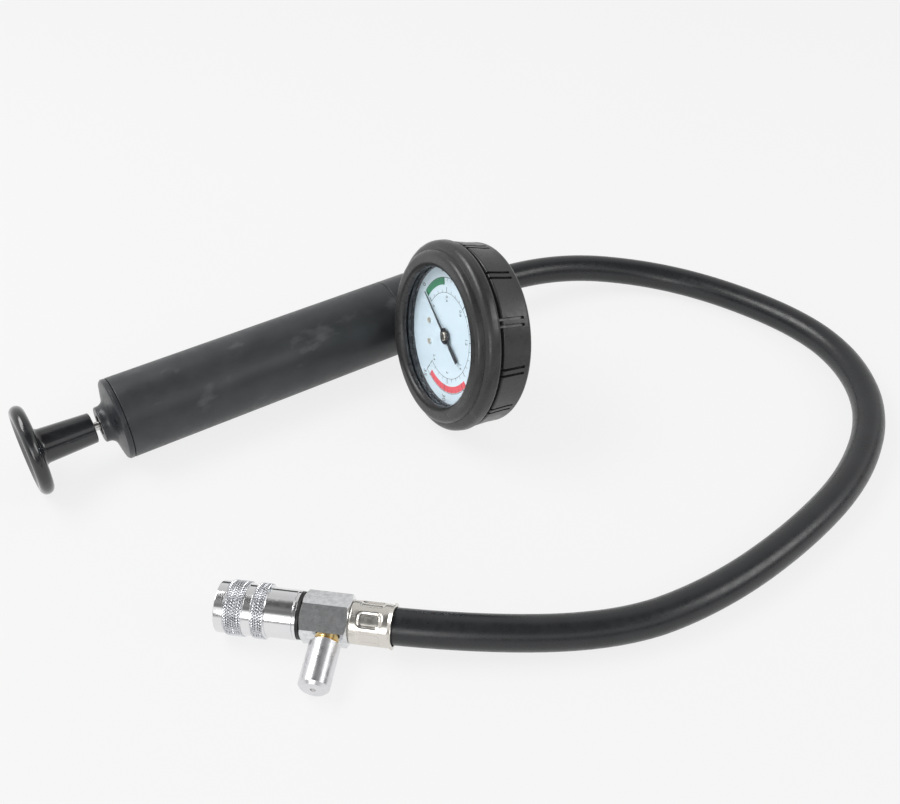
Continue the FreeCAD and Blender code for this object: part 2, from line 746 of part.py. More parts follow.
# Gauge boot
# A stretched rubber ring with a round lip over the bezel, a groove behind the lip, and a band
# with twelve ribs that are each drawn by two narrow grooves. A slot to the back passes the shank.
lip_back = bezel_front + S.seat
lip_front = lip_back + S.lip_over
lip_round = Size(4.0)
boot_edge = Size(2.2)
boot_blank = turned("boot_blank", [
    (S.boot_back_hole_r, S.boot_back),
    (S.boot_r - boot_edge, S.boot_back, boot_edge),
    (S.boot_r, S.boot_back + boot_edge),
    (S.boot_r, S.groove_at - 1.6),
    (S.boot_r - 1.4, S.groove_at - 0.2),
    (S.boot_r - 1.4, S.groove_at + 0.8),
    (S.lip_r - 0.8, S.groove_at + 1.6),
    (S.lip_r, S.groove_at + 3.0),
    (S.lip_r, lip_front - lip_round, lip_round),
    (S.lip_r - lip_round, lip_front),
    (S.lip_hole_r + 1.2, lip_front, Size(1.2)),
    (S.lip_hole_r, lip_front - 1.2),
    (S.lip_hole_r, lip_back),
    (S.bezel_r + S.seat, lip_back),
    (S.bezel_r + S.seat, skirt_end - S.seat),
    (S.case_r + S.seat, skirt_end - S.seat),
    (S.case_r + S.seat, S.case_back - S.seat),
    (S.boot_back_hole_r, S.case_back - S.seat),
], "YZ_Plane")


def rib_grooves():
    """Twelve pairs of narrow grooves, open at the front and round at the back."""
    wide = float(S.rib_cut)
    front = float(S.groove_at) + 1.0
    length = front - (float(S.groove_at) - float(S.rib_len)) - wide / 2
    pairs = []
    for k in range(12):
        for side in (-0.5, 0.5):
            offset = float(S.rib_wide) * side
            box = Part.makeBox(3.0, wide, length,
                               V(float(S.boot_r) - wide, offset - wide / 2, front - length))
            end = Part.makeCylinder(wide / 2, 3.0, V(float(S.boot_r) - wide, offset, front - length),
                                    V(1, 0, 0))
            groove = box.fuse(end)
            groove.rotate(V(0, 0, 0), V(0, 0, 1), 16.5 + 30 * k)
            pairs.append(groove)
    return Part.makeCompound(pairs)


grooves = doc.addObject("Part::Feature", "rib_grooves")
grooves.Shape = rib_grooves()
slot = doc.addObject("Part::Box", "shank_slot")
bind(slot, "Length", S.shank_flat + 1.0)
bind(slot, "Width", S.boot_r - S.boot_back_hole_r + 4.0)
bind(slot, "Height", S.shank_flat / 2 + 0.5 - S.boot_back + 1.0)
bind(slot, "Placement.Base.x", -(S.shank_flat + 1.0) / 2)
bind(slot, "Placement.Base.y", -(S.boot_r + 2.0))
bind(slot, "Placement.Base.z", S.boot_back - 1.0)
boot_rest = cut("boot_ribs", boot_blank, [grooves])
keep(cut("gauge_boot", boot_rest, [slot]), "gauge_boot", "gauge")

# Socket
# The brass socket is the backbone of the gauge: shank, block for the Bourdon tube, and a tongue
# that carries the movement.
tongue_front = S.plate_back
block_back = S.case_back + S.case_wall
block = doc.addObject("Part::Box", "socket_block")
bind(block, "Length", S.block_wide)
bind(block, "Width", S.block_out - S.block_in)
bind(block, "Height", S.block_front - block_back)
bind(block, "Placement.Base.x", -S.block_wide / 2)
bind(block, "Placement.Base.y", -S.block_out)
bind(block, "Placement.Base.z", block_back)
tongue = doc.addObject("Part::Box", "socket_tongue")
bind(tongue, "Length", S.block_wide)
bind(tongue, "Width", S.block_in - S.tongue_in)
bind(tongue, "Height", tongue_front - block_back)
bind(tongue, "Placement.Base.x", -S.block_wide / 2)
bind(tongue, "Placement.Base.y", -S.block_in)
bind(tongue, "Placement.Base.z", block_back)
square = prism("socket_square", S.shank_flat, shank_end - S.block_out, (0, -S.block_out, 0), DOWN, 4)
thread = cylinder("socket_thread", S.port_r - S.seat, S.port_len + S.washer_thick,
                  (0, -shank_end, 0), DOWN)
feed_r = Size(1.5)
feed = cylinder("socket_feed", feed_r, seat_at + S.port_len - S.block_in - 6.0,
                (0, -(S.block_in + 6.0), 0), DOWN)
tube_wide_half = S.tube_wide / 2
tube_slot = doc.addObject("Part::Feature", "tube_slot")


def ring_piece(inner, outer, start, end, low, high):
    """Part of a flat ring about the Z axis, from one angle to a larger one, in degrees."""
    def at(radius, angle):
        return V(radius * math.cos(math.radians(angle)), radius * math.sin(math.radians(angle)), low)
    middle = (start + end) / 2
    wire = Part.Wire([
        Part.Arc(at(outer, start), at(outer, middle), at(outer, end)).toShape(),
        Part.makeLine(at(outer, end), at(inner, end)),
        Part.Arc(at(inner, end), at(inner, middle), at(inner, start)).toShape(),
        Part.makeLine(at(inner, start), at(outer, start)),
    ])
    return Part.Face(wire).extrude(V(0, 0, high - low))


path_r = float(S.tube_path_r)
half_thick = float(S.tube_thick) / 2
half_wide = float(S.tube_wide) / 2
seat = float(S.seat)
tube_root = 262.0
tube_tip_angle = -29.2
tube_slot.Shape = ring_piece(path_r - half_thick - seat, path_r + half_thick + seat, 240.0, tube_root,
                             -half_wide - seat, half_wide + seat)
socket_screws = [along_z("socket_hole%d" % k, case_screw_r, 5.0, side, -screw_at, block_back)
                 for k, side in enumerate((screw_side, -screw_side))]
plate_screw_at = S.tongue_in + 4.0
plate_screw_side = Size(4.0)
plate_screw_r = Size(0.8)
tongue_holes = [along_z("tongue_hole%d" % k, plate_screw_r, 3.0, side, -plate_screw_at,
                        tongue_front - 3.0)
                for k, side in enumerate((plate_screw_side, -plate_screw_side))]
link_feed = cylinder("socket_link_feed", 0.9, 6.0, (0, -(S.block_in + 7.0), 0), BACK)
socket_blank = fuse("socket", [block, tongue, square, thread])
keep(cut("gauge_socket", socket_blank, [feed, link_feed, tube_slot] + socket_screws + tongue_holes),
     "gauge_socket", "gauge")

washer_disc = cylinder("washer_disc", S.shank_flat / 2 + 1.6, S.washer_thick, (0, -shank_end, 0), DOWN)
washer_hole = cylinder("washer_hole", S.port_r, S.washer_thick, (0, -shank_end, 0), DOWN)
keep(cut("stem_washer", washer_disc, [washer_hole]), "stem_washer", "gauge")


def screw(x, y, under_head, shank_r, shank_len, head_r, head_len, up=1):
    """A cheese-head screw along Z with its head towards the front, or the back for up = -1."""
    way = V(0, 0, up)
    head = Part.makeCylinder(head_r, head_len, V(x, y, under_head), way)
    slit = Part.makeBox(head_r * 2 + 1, 0.3, 0.3)
    slit.translate(V(x - head_r - 0.5, y - 0.15, under_head + up * head_len - (0.3 if up > 0 else 0)))
    shank = Part.makeCylinder(shank_r, shank_len, V(x, y, under_head), -way)
    return head.cut(slit).fuse(shank)


case_screws = [screw(side * float(screw_side), -float(screw_at), float(S.case_back),
                     float(case_screw_r) - 0.02, 4.5, 2.2, 0.6, -1) for side in (1, -1)]
made("case_screws", Part.makeCompound(case_screws), "gauge")

# Bourdon tube
# A flat tube bent to an open ring. Pressure opens the ring, and its closed tip pulls the link.
outer_tube = ring_piece(path_r - half_thick, path_r + half_thick, tube_tip_angle, tube_root,
                        -half_wide, half_wide)
wall = float(S.tube_wall)
inner_tube = ring_piece(path_r - half_thick + wall, path_r + half_thick - wall,
                        tube_tip_angle + 1.5, tube_root, -half_wide + wall, half_wide - wall)
edges = [e for e in outer_tube.Edges if e.Curve.TypeId == "Part::GeomCircle"]
round_tube = outer_tube.makeFillet(half_thick * 0.8, edges)
made("bourdon_tube", round_tube.cut(inner_tube), "gauge")

# Movement
# The sector's teeth and the pinion's are involutes, and they mesh on the line from the pivot to
# the dial's centre.
pinion_r = float(S.module) * float(S.pinion_teeth) / 2
sector_r = float(S.module) * float(S.sector_teeth) / 2
pivot_turn = math.radians(float(S.pivot_angle))
pivot = V(math.cos(pivot_turn), math.sin(pivot_turn), 0) * (pinion_r + sector_r)
plate_top = float(S.plate_back) + float(S.plate_thick)
front_plate = plate_top + float(S.plate_gap)
front_face = front_plate + float(S.plate_thick)
pinion_low = plate_top + 2.0
sector_low = pinion_low + 0.8
link_low = sector_low + 2.0
swing = 270.0 * pinion_r / sector_r
arm_rest = float(S.pivot_angle) + 180.0 - swing / 2
tail_reach = 7.0
tail_rest = math.radians(arm_rest + 180.0)
tail_full = math.radians(arm_rest + 180.0 + swing)
tail_eye = pivot + V(math.cos(tail_rest), math.sin(tail_rest), 0) * tail_reach
tail_moved = pivot + V(math.cos(tail_full), math.sin(tail_full), 0) * tail_reach
pressure_angle = math.radians(20.0)


def involute(angle):
    return math.tan(angle) - angle


def teeth_line(pitch_r, whole, count, middle, tip_r, root_r):
    """The points along a row of teeth about the origin, in the direction of rising angle."""
    base_r = pitch_r * math.cos(pressure_angle)
    thick = float(S.module) * math.pi / 2 - 0.04
    points = []
    for k in range(count):
        centre = math.radians(middle) + (k - (count - 1) / 2) * 2 * math.pi / whole
        flank = []
        for step in range(4):
            radius = root_r + (tip_r - root_r) * step / 3
            slope = math.acos(min(1.0, base_r / radius))
            half = thick / 2 / pitch_r + involute(pressure_angle) - involute(slope)
            flank.append((radius, half))
        for radius, half in flank:
            points.append(V(radius * math.cos(centre - half), radius * math.sin(centre - half), 0))
        for radius, half in reversed(flank):
            points.append(V(radius * math.cos(centre + half), radius * math.sin(centre + half), 0))
    return points


def lifted(face, low, high):
    face.translate(V(0, 0, low))
    return face.extrude(V(0, 0, high - low))


def capsule(a, b, radius, low, high):
    """A flat bar with round ends between two points."""
    side = (b - a).cross(V(0, 0, 1)).normalize() * radius
    end = (b - a).normalize() * radius
    wire = Part.Wire([
        Part.makeLine(a + side, b + side),
        Part.Arc(b + side, b + end, b - side).toShape(),
        Part.makeLine(b - side, a - side),
        Part.Arc(a - side, a - end, a + side).toShape(),
    ])
    return lifted(Part.Face(wire), low, high)


def post(x, y, radius, low, high):
    return Part.makeCylinder(radius, high - low, V(x, y, low))


arbor_r = float(S.arbor_r)
# With an even count the row's middle is a gap, and it is turned by half a tooth so that a tooth
# of the pinion stands in the gap that the sector has there at rest.
pinion_line = teeth_line(pinion_r, float(S.pinion_teeth), int(float(S.pinion_teeth)),
                         float(S.pivot_angle) + 180.0 / float(S.pinion_teeth),
                         pinion_r + 0.32, pinion_r - 0.40)
pinion = lifted(Part.Face(Part.makePolygon(pinion_line + pinion_line[:1])), pinion_low,
                pinion_low + 2.6)
pointer_back = float(S.pointer_at)
pointer_front = pointer_back + float(S.pointer_thick)
hub_front = pointer_front + 1.2
arbor = pinion.fuse([post(0, 0, arbor_r, float(S.plate_back), hub_front)]).removeSplitter()
made("pointer_arbor", arbor, "gauge")

teeth_row = teeth_line(sector_r, float(S.sector_teeth), int(float(S.sector_cut)), arm_rest,
                       sector_r + 0.28, sector_r - 0.44)
hub_points = [V(1.8 * math.cos(math.radians(arm_rest + side)),
                1.8 * math.sin(math.radians(arm_rest + side)), 0) for side in (80, -80)]
blade = lifted(Part.Face(Part.makePolygon(teeth_row + hub_points + teeth_row[:1])), sector_low,
               sector_low + 1.0)
window = ring_piece(5.0, sector_r - 2.4, arm_rest - 19, arm_rest + 19, sector_low - 1, sector_low + 2)
tail_tip = V(math.cos(tail_rest), math.sin(tail_rest), 0) * tail_reach
tail_bar = capsule(V(0, 0, 0), tail_tip, 1.2, sector_low, sector_low + 1.0)
sector = blade.cut(window).fuse([
    post(0, 0, 2.4, sector_low, sector_low + 1.0),
    tail_bar,
    post(0, 0, arbor_r, float(S.plate_back), front_face),
    post(tail_tip.x, tail_tip.y, 0.55, sector_low, link_low + 0.8),
]).removeSplitter()
sector.translate(pivot)
made("sector_gear", sector, "gauge")

# The tube's tip stands still here, so the link's eye at the tip is a slot as long as its travel.
tip_angle = math.radians(tube_tip_angle - 3.5)
tip_pin = V(path_r * math.cos(tip_angle), path_r * math.sin(tip_angle), 0)
travel = tail_moved - tail_eye
bulge = pivot + V(math.cos((tail_rest + tail_full) / 2), math.sin((tail_rest + tail_full) / 2), 0) \
    * tail_reach - (tail_eye + tail_moved) * 0.5
slot_shift = bulge * -0.5
slot_start = tip_pin + slot_shift
slot_end = tip_pin - travel + slot_shift
link_high = link_low + 0.6
link = capsule(tail_eye, slot_end, 1.2, link_low, link_high).fuse([
    capsule(slot_start, slot_end, 2.0, link_low, link_high),
    post(tail_eye.x, tail_eye.y, 1.5, link_low, link_high),
])
link = link.cut(capsule(slot_start, slot_end, 1.0, link_low - 1, link_high + 1))
link = link.cut(post(tail_eye.x, tail_eye.y, 0.6, link_low - 1, link_high + 1))
made("link_bar", link.removeSplitter(), "gauge")

tip_block = ring_piece(path_r - 2.2, path_r + 2.2, tube_tip_angle - 6.5, tube_tip_angle,
                       -half_wide, link_low - 0.3)
tip_post = post(tip_pin.x, tip_pin.y, 0.6, 0, link_high + 0.4)
made("tube_tip", tip_block.fuse(tip_post), "gauge")


def plate(outline, low, holes):
    """A movement plate with its round holes, each given as x, y and radius."""
    points = [V(x, y, 0) for x, y in outline]
    sheet_metal = lifted(Part.Face(Part.makePolygon(points + points[:1])), low,
                         low + float(S.plate_thick))
    for x, y, radius in holes:
        sheet_metal = sheet_metal.cut(post(x, y, radius, low - 1, low + float(S.plate_thick) + 1))
    return sheet_metal


pillar_spots = [(-11.0, -6.0), (-4.0, 10.0), (15.5, 3.0)]
bearing_holes = [(0.0, 0.0, arbor_r + 0.03), (pivot.x, pivot.y, arbor_r + 0.03)]
pillar_holes = [(x, y, float(plate_screw_r)) for x, y in pillar_spots]
tongue_spots = [(side * float(plate_screw_side), -float(plate_screw_at)) for side in (1, -1)]
back_outline = [(-13, -16), (-13, 4), (-6, 13), (4, 13), (18.5, 5), (18.5, -2), (13, -20), (-8, -20)]
made("movement_back_plate",
     plate(back_outline, float(S.plate_back),
           bearing_holes + [(x, y, float(plate_screw_r)) for x, y in tongue_spots]), "gauge")
dial_spots = [(6.0, -19.5), (-6.0, -19.5)]
front_outline = [(-13, -9), (-13, 4), (-6, 13), (4, 13), (18.5, 5), (18.5, -2), (13, -19),
                 (11.5, -22), (-8, -22), (-9.5, -18)]
made("movement_front_plate", plate(front_outline, front_plate, bearing_holes + pillar_holes), "gauge")
pillars = [post(x, y, 1.6, plate_top, front_plate).cut(
    post(x, y, float(plate_screw_r), plate_top + 2, front_plate)) for x, y in pillar_spots]
made("movement_pillars", Part.makeCompound(pillars), "gauge")
screws = [screw(x, y, front_face, float(plate_screw_r) - 0.02, 4.5, 1.5, 0.8)
          for x, y in pillar_spots]
screws += [screw(x, y, plate_top, float(plate_screw_r) - 0.02, 3.5, 1.5, 0.8)
           for x, y in tongue_spots]
made("movement_screws", Part.makeCompound(screws), "gauge")

# Dial and pointer
dial_back = float(S.dial_at)
dial_front = dial_back + float(S.dial_thick)
spacers = [post(x, y, 1.5, front_face, dial_back).cut(post(x, y, 0.7, dial_back - 3, dial_back))
           for x, y in dial_spots]
made("dial_spacers", Part.makeCompound(spacers), "gauge")
made("dial_screws", Part.makeCompound(
    [screw(x, y, dial_front, 0.68, 2.4, 1.6, 0.7) for x, y in dial_spots]), "gauge")
dial_disc = turned("dial_disc", [
    (2.5, S.dial_at),
    (S.dial_r, S.dial_at),
    (S.dial_r, S.dial_at + S.dial_thick),
    (2.5, S.dial_at + S.dial_thick),
], "YZ_Plane")
dial_holes = [along_z("dial_hole%d" % k, 0.7, 2.0, x, y, S.dial_at - 0.5)
              for k, (x, y) in enumerate(dial_spots)]
keep(cut("dial_plate", dial_disc, dial_holes), "dial_plate", "gauge")

needle_length = float(S.pointer_len)
tail_length = float(S.tail_len)
needle_outline = [V(needle_length, 0.15, 0), V(2.0, 0.9, 0), V(-2.0, 0.8, 0), V(-10.0, 0.9, 0),
                  V(-tail_length, 1.5, 0), V(-tail_length, -1.5, 0), V(-10.0, -0.9, 0),
                  V(-2.0, -0.8, 0), V(2.0, -0.9, 0), V(needle_length, -0.15, 0)]
needle = lifted(Part.Face(Part.makePolygon(needle_outline + needle_outline[:1])), pointer_back,
                pointer_front)
hub = post(0, 0, float(S.hub_r), pointer_back - 0.4, pointer_front + 0.4)
cap = post(0, 0, float(S.hub_r) * 0.62, pointer_front, hub_front)
pointer_shape = needle.fuse([hub, cap]).cut(post(0, 0, arbor_r, 0, hub_front + 1)).removeSplitter()
pointer_shape.rotate(V(0, 0, 0), V(0, 0, 1), float(S.zero_angle))
made("pointer", pointer_shape, "gauge")

# Quick coupler
# Six balls lock a plug in the bore while the sleeve's land holds them in. The bore is relieved
# round the balls, so the land in front of them is what guides the plug.
mouth_round = Size(0.6)
shoulder_at = Size(20.0)
bore_end = Size(17.0)
seal_at = Size(13.0)
thread_at = S.coupler_len - 6.0
tee_thread_r = Size(6.5)
snap_at = Size(4.1)
snap_wide = Size(1.0)
snap_bed = S.nose_r - 0.7
seal_bed = S.socket_r + 1.55
relief_start = S.ball_at - 2.0
relief_end = S.ball_at + 2.0
relief_r = S.socket_r + 0.4
body_blank = turned("coupler_blank", [
    (0, S.socket_r + mouth_round),
    (0, S.nose_r - 0.4),
    (0.4, S.nose_r),
    (snap_at, S.nose_r),
    (snap_at, snap_bed),
    (snap_at + snap_wide, snap_bed),
    (snap_at + snap_wide, S.nose_r),
    (shoulder_at, S.nose_r),
    (shoulder_at, S.coupler_r - 0.4),
    (shoulder_at + 0.4, S.coupler_r),
    (S.coupler_len - 0.6, S.coupler_r),
    (S.coupler_len, S.coupler_r - 0.6),
    (S.coupler_len, tee_thread_r),
    (thread_at, tee_thread_r),
    (thread_at, 3.0),
    (bore_end, 3.0),
    (bore_end, S.socket_r),
    (seal_at + 1.3, S.socket_r),
    (seal_at + 1.3, seal_bed),
    (seal_at - 1.3, seal_bed),
    (seal_at - 1.3, S.socket_r),
    (relief_end, S.socket_r),
    (relief_end, relief_r),
    (relief_start, relief_r),
    (relief_start, S.socket_r),
    (mouth_round, S.socket_r),
])
ball_holes = []
ball_shapes = []
ball_centre = S.nose_r + S.seat - S.ball_r
for k in range(int(float(S.ball_count))):
    turn = 2 * math.pi * (k + 0.5) / float(S.ball_count)
    ball_holes.append(cylinder("ball_hole%d" % k, S.ball_r + 0.05, 5.0,
                               (S.ball_at, (S.socket_r - 1.0) * math.cos(turn),
                                (S.socket_r - 1.0) * math.sin(turn)),
                               (0, math.cos(turn), math.sin(turn))))
    ball_shapes.append(Part.makeSphere(float(S.ball_r), V(
        float(S.ball_at), float(ball_centre) * math.cos(turn), float(ball_centre) * math.sin(turn))))
keep(cut("coupler_body", body_blank, ball_holes), "coupler_body", "fitting")
made("lock_balls", Part.makeCompound(ball_shapes), "fitting")
keep(o_ring("coupler_o_ring", S.socket_r + 0.57, Size(0.95), seal_at), "coupler_o_ring", "fitting")

land_start = Size(5.2)
land_end = Size(10.5)
land_r = S.nose_r + S.slip
sleeve = turned("coupler_sleeve", [
    (0, S.nose_r + 1.8),
    (0, S.sleeve_r - 1.4),
    (1.4, S.sleeve_r),
    (3.6, S.sleeve_r),
    (4.2, S.sleeve_r - 0.6),
    (5.4, S.sleeve_r - 0.6),
    (6.0, S.sleeve_r),
    (S.sleeve_len - 7.0, S.sleeve_r),
    (S.sleeve_len - 6.4, S.sleeve_r - 0.6),
    (S.sleeve_len - 5.2, S.sleeve_r - 0.6),
    (S.sleeve_len - 4.6, S.sleeve_r),
    (S.sleeve_len - 0.8, S.sleeve_r),
    (S.sleeve_len, S.sleeve_r - 0.8),
    (S.sleeve_len, S.coupler_r + S.slip),
    (land_end, S.coupler_r + S.slip),
    (land_end, land_r),
    (land_start, land_r),
    (land_start, S.nose_r + 1.8),
])
keep(sleeve, "coupler_sleeve", "fitting")

snap = turned("snap_blank", [
    (snap_at + 0.05, snap_bed + S.seat),
    (snap_at + 0.05, S.nose_r + 1.2),
    (snap_at + snap_wide - 0.05, S.nose_r + 1.2),
    (snap_at + snap_wide - 0.05, snap_bed + S.seat),
])
snap_gap = doc.addObject("Part::Box", "snap_gap")
bind(snap_gap, "Length", snap_wide + 2.0)
bind(snap_gap, "Width", Size(2.0))
bind(snap_gap, "Height", S.nose_r + 3.0)
bind(snap_gap, "Placement.Base.x", snap_at - 1.0)
bind(snap_gap, "Placement.Base.y", Size(-1.0))
keep(cut("snap_ring", snap, [snap_gap]), "snap_ring", "fitting")

made("sleeve_spring", coil(float(land_end) + 0.1, float(shoulder_at - land_end) - 0.2,
                           float(S.nose_r + S.coupler_r) / 2, 0.6, 3), "fitting")

face_seal = turned("face_seal", [
    (S.coupler_len, tee_thread_r),
    (S.coupler_len, S.coupler_r - 0.9),
    (S.coupler_len + 0.5, S.coupler_r - 0.4),
    (S.coupler_len + S.seal_len - 0.5, S.coupler_r - 0.4),
    (S.coupler_len + S.seal_len, S.coupler_r - 0.9),
    (S.coupler_len + S.seal_len, tee_thread_r),
])
keep(face_seal, "face_seal", "fitting")

# Hex tee
tee_at = S.coupler_len + S.seal_len
tee_end = tee_at + S.tee_len
tee_bore_r = Size(2.5)
tee_bar = prism("tee_bar", S.tee_flat, S.tee_len, (tee_at, 0, 0), X)
tee_round = turned("tee_round", [
    (tee_at, 0),
    (tee_at, S.tee_flat / 2 - 0.2),
    (tee_at + 1.0, S.tee_flat / 2 + 1.7),
    (tee_end - 1.0, S.tee_flat / 2 + 1.7),
    (tee_end, S.tee_flat / 2 - 0.2),
    (tee_end, 0),
])
tee_hex = common("tee_hex", tee_bar, tee_round)
spigot = cylinder("tee_spigot", tee_thread_r - S.seat, tee_at - thread_at - 0.2,
                  (thread_at + 0.2, 0, 0), X)
tee_tail = turned("tee_tail", [(tee_end, 0)] + barbed_tail(tee_end, Size(0)))
tee_bore = cylinder("tee_bore", tee_bore_r, tee_end - thread_at + barb_len,
                    (thread_at + 0.2, 0, 0), X)
valve_flat = S.tee_flat / 2
valve_thread_r = Size(4.5)
valve_thread_len = Size(5.5)
valve_port = cylinder("valve_port", valve_thread_r, valve_thread_len + 1.0,
                      (S.valve_at, 0, valve_flat - valve_thread_len), Z)
# The pocket under the port is as deep as the seal goes when the cap is pressed.
valve_pocket = cylinder("valve_pocket", 2.9, S.press_travel + 0.3,
                        (S.valve_at, 0, valve_flat - valve_thread_len - 1.3), Z)
valve_feed = cylinder("valve_feed", 1.6, valve_flat, (S.valve_at, 0, 0), Z)
tee_blank = fuse("tee", [tee_hex, spigot, tee_tail])
keep(cut("tee_body", tee_blank, [tee_bore, valve_port, valve_pocket, valve_feed]), "tee_body",
     "fitting")
ferrule("end_ferrule", tee_end, "fitting")

# Release valve
# A bicycle-type valve: pressing the cap pushes the pin, which lifts the seal off its seat.
flange_top = valve_flat + 0.9
cap_start = valve_flat + S.valve_show
cap_end = cap_start + S.cap_len
cap_top = Size(2.0)
stem_top = cap_end - cap_top - 6.0
pin_r = Size(0.9)
seat_r = pin_r + 0.35
chamber_low = valve_flat - valve_thread_len + 0.3


def upright(label, corners):
    """A turned piece about the release valve's axis, with its outline as (radius, height)."""
    body = turned(label, corners, "YZ_Plane")
    bind(body, "Placement.Base.x", S.valve_at)
    return body


def settled(label, body):
    """A copy in the group's own frame, so that the group can be placed as a whole."""
    whole = doc.addObject("Part::Compound", label + "_whole")
    whole.Links = [body]
    doc.recompute()
    return whole


release_body = upright("release_body", [
    (seat_r, chamber_low + 2.4),
    (2.9, chamber_low + 2.0),
    (2.9, chamber_low),
    (valve_thread_r - S.seat, chamber_low),
    (valve_thread_r - S.seat, valve_flat),
    (S.valve_stem_r + 0.5, valve_flat),
    (S.valve_stem_r + 0.5, flange_top),
    (S.valve_stem_r, flange_top),
    (S.valve_stem_r, stem_top - 0.4),
    (S.valve_stem_r - 0.4, stem_top),
    (seat_r, stem_top),
])
keep(settled("release_body", release_body), "release_body", "fitting")
cap_piece = upright("release_cap", [
    (S.valve_stem_r + S.slip, cap_start),
    (S.cap_r - 0.4, cap_start),
    (S.cap_r, cap_start + 0.4),
    (S.cap_r, cap_end - 1.4),
    (S.cap_r - 1.4, cap_end),
    (pin_r, cap_end),
    (pin_r, cap_end - cap_top),
    (S.valve_stem_r + S.slip, cap_end - cap_top),
])
keep(settled("release_cap", cap_piece), "release_cap", "fitting")
seal_top = chamber_low + 1.7
release_seal = upright("release_seal", [
    (0, seal_top - 1.5),
    (2.6, seal_top - 1.5),
    (2.6, seal_top),
    (0, seal_top),
])
keep(settled("release_seal", release_seal), "release_seal", "fitting")
release_pin = upright("release_pin", [
    (0, seal_top),
    (pin_r, seal_top),
    (pin_r, cap_end),
    (0, cap_end),
])
keep(settled("release_pin", release_pin), "release_pin", "fitting")
upright_spring = coil(0, float(cap_end - cap_top - stem_top), 3.4, 0.35, 4)
upright_spring.rotate(V(0, 0, 0), V(0, 1, 0), -90)
upright_spring.translate(V(float(S.valve_at), 0, float(stem_top)))
made("release_spring", upright_spring, "fitting")

# Places of the three groups
# The pump lies on the rim of its knob and on the head's end, and is rolled until the back of the
# gauge boot touches the floor as well.
span = float(head_end - rim_mid)
lean = math.atan(float(S.disc_r - S.barrel_r) / span)
axis_rise = float(S.disc_r) * math.cos(lean) + float(rim_mid) * math.sin(lean)


def pump_place(roll):
    tilt = FreeCAD.Rotation(V(0, 1, 0), math.degrees(lean))
    turn_up = FreeCAD.Rotation(V(1, 0, 0), 90.0 - roll)
    return FreeCAD.Placement(V(-float(S.origin_x), -float(S.origin_y), axis_rise),
                             tilt.multiply(turn_up))


face_turn = math.radians(float(S.gauge_turn))
gauge_three = V(-math.sin(face_turn), -math.cos(face_turn), 0)
gauge_out = V(-math.cos(face_turn), math.sin(face_turn), 0)
gauge_place = FreeCAD.Placement(
    V(float(S.port_at), 0, float(S.gauge_arm)),
    FreeCAD.Rotation(gauge_three, V(0, 0, 1), gauge_out, "ZYX"))


def boot_clearance(roll):
    """The height of the boot's rim over the floor when the pump is rolled that far."""
    place = pump_place(roll).multiply(gauge_place)
    lowest = 1000.0
    for step in range(9):
        bend = math.pi / 2 * step / 8
        radius = float(S.boot_r - boot_edge) + float(boot_edge) * math.sin(bend)
        height = float(S.boot_back + boot_edge) - float(boot_edge) * math.cos(bend)
        for k in range(720):
            angle = math.pi * k / 360
            spot = place.multVec(V(radius * math.cos(angle), radius * math.sin(angle), height))
            lowest = min(lowest, spot.z)
    return lowest


low_roll = 5.0
high_roll = 45.0
for _ in range(30):
    roll = (low_roll + high_roll) / 2
    if boot_clearance(roll) > 0:
        high_roll = roll
    else:
        low_roll = roll
pump_group = pump_place(high_roll)

reach = math.hypot(float(cap_end), float(S.cap_r))
drop = math.asin(float(S.sleeve_r) / reach) - math.atan(float(S.cap_r) / float(cap_end))
fitting_turn = math.radians(float(S.fitting_turn))
fitting_along = V(math.cos(fitting_turn), math.sin(fitting_turn), 0)
fitting_side = V(math.sin(fitting_turn), -math.cos(fitting_turn), 0)
valve_way = fitting_side * math.cos(drop) + V(0, 0, -math.sin(drop))
fitting_group = FreeCAD.Placement(
    V(float(S.fitting_x - S.origin_x), float(S.fitting_y - S.origin_y), float(S.sleeve_r)),
    FreeCAD.Rotation(fitting_along, valve_way.cross(fitting_along), valve_way, "ZXY"))

# Pressure hose
# A fixed length of rubber hose that lies on the floor, between the two ferrules' end walls.
hose_start = pump_group.multVec(V(float(nipple_face + S.ferrule_end), 0, 0))
hose_end = fitting_group.multVec(V(float(tee_end + S.ferrule_end), 0, 0))
# It leaves each ferrule in line with it.
straight_out = 47.0
ROUTE = [
    (217.5, 42.0, 18.5),
    (263.5, 16.0, 10.5),
    (291.5, -26.5, 8.5),
    (307.0, -83.5, 8.5),
    (301.0, -127.5, 8.5),
    (274.5, -167.5, 8.5),
    (227.5, -195.5, 8.5),
    (171.5, -209.0, 8.5),
    (111.5, -213.5, 8.5),
    (59.5, -205.0, 9.0),
]
hose_out = pump_group.multVec(V(float(nipple_face + S.ferrule_end) + straight_out, 0, 0))
hose_in = fitting_group.multVec(V(float(tee_end + S.ferrule_end) + straight_out, 0, 0))
points = [hose_start, hose_out] + [V(*spot) for spot in ROUTE] + [hose_in, hose_end]


def rounded_path(spots):
    """Straight runs joined by tangent arcs that are as large as the runs allow."""
    edges_made = []
    radii = []
    start = spots[0]
    for before, corner, after in zip(spots, spots[1:], spots[2:]):
        back = before - corner
        ahead = after - corner
        shorter = min(back.Length, ahead.Length)
        back = back.normalize()
        ahead = ahead.normalize()
        turn_angle = math.pi - back.getAngle(ahead)
        reach_back = 0.45 * shorter
        arc_start = corner + back * reach_back
        arc_end = corner + ahead * reach_back
        radius = reach_back / math.tan(turn_angle / 2)
        inward = (back + ahead).normalize()
        middle = corner + inward * (radius / math.cos(turn_angle / 2) - radius)
        edges_made.append(Part.makeLine(start, arc_start))
        edges_made.append(Part.Arc(arc_start, middle, arc_end).toShape())
        radii.append(radius)
        start = arc_end
    edges_made.append(Part.makeLine(start, spots[-1]))
    return Part.Wire(edges_made), radii


hose_path, hose_radii = rounded_path(points)


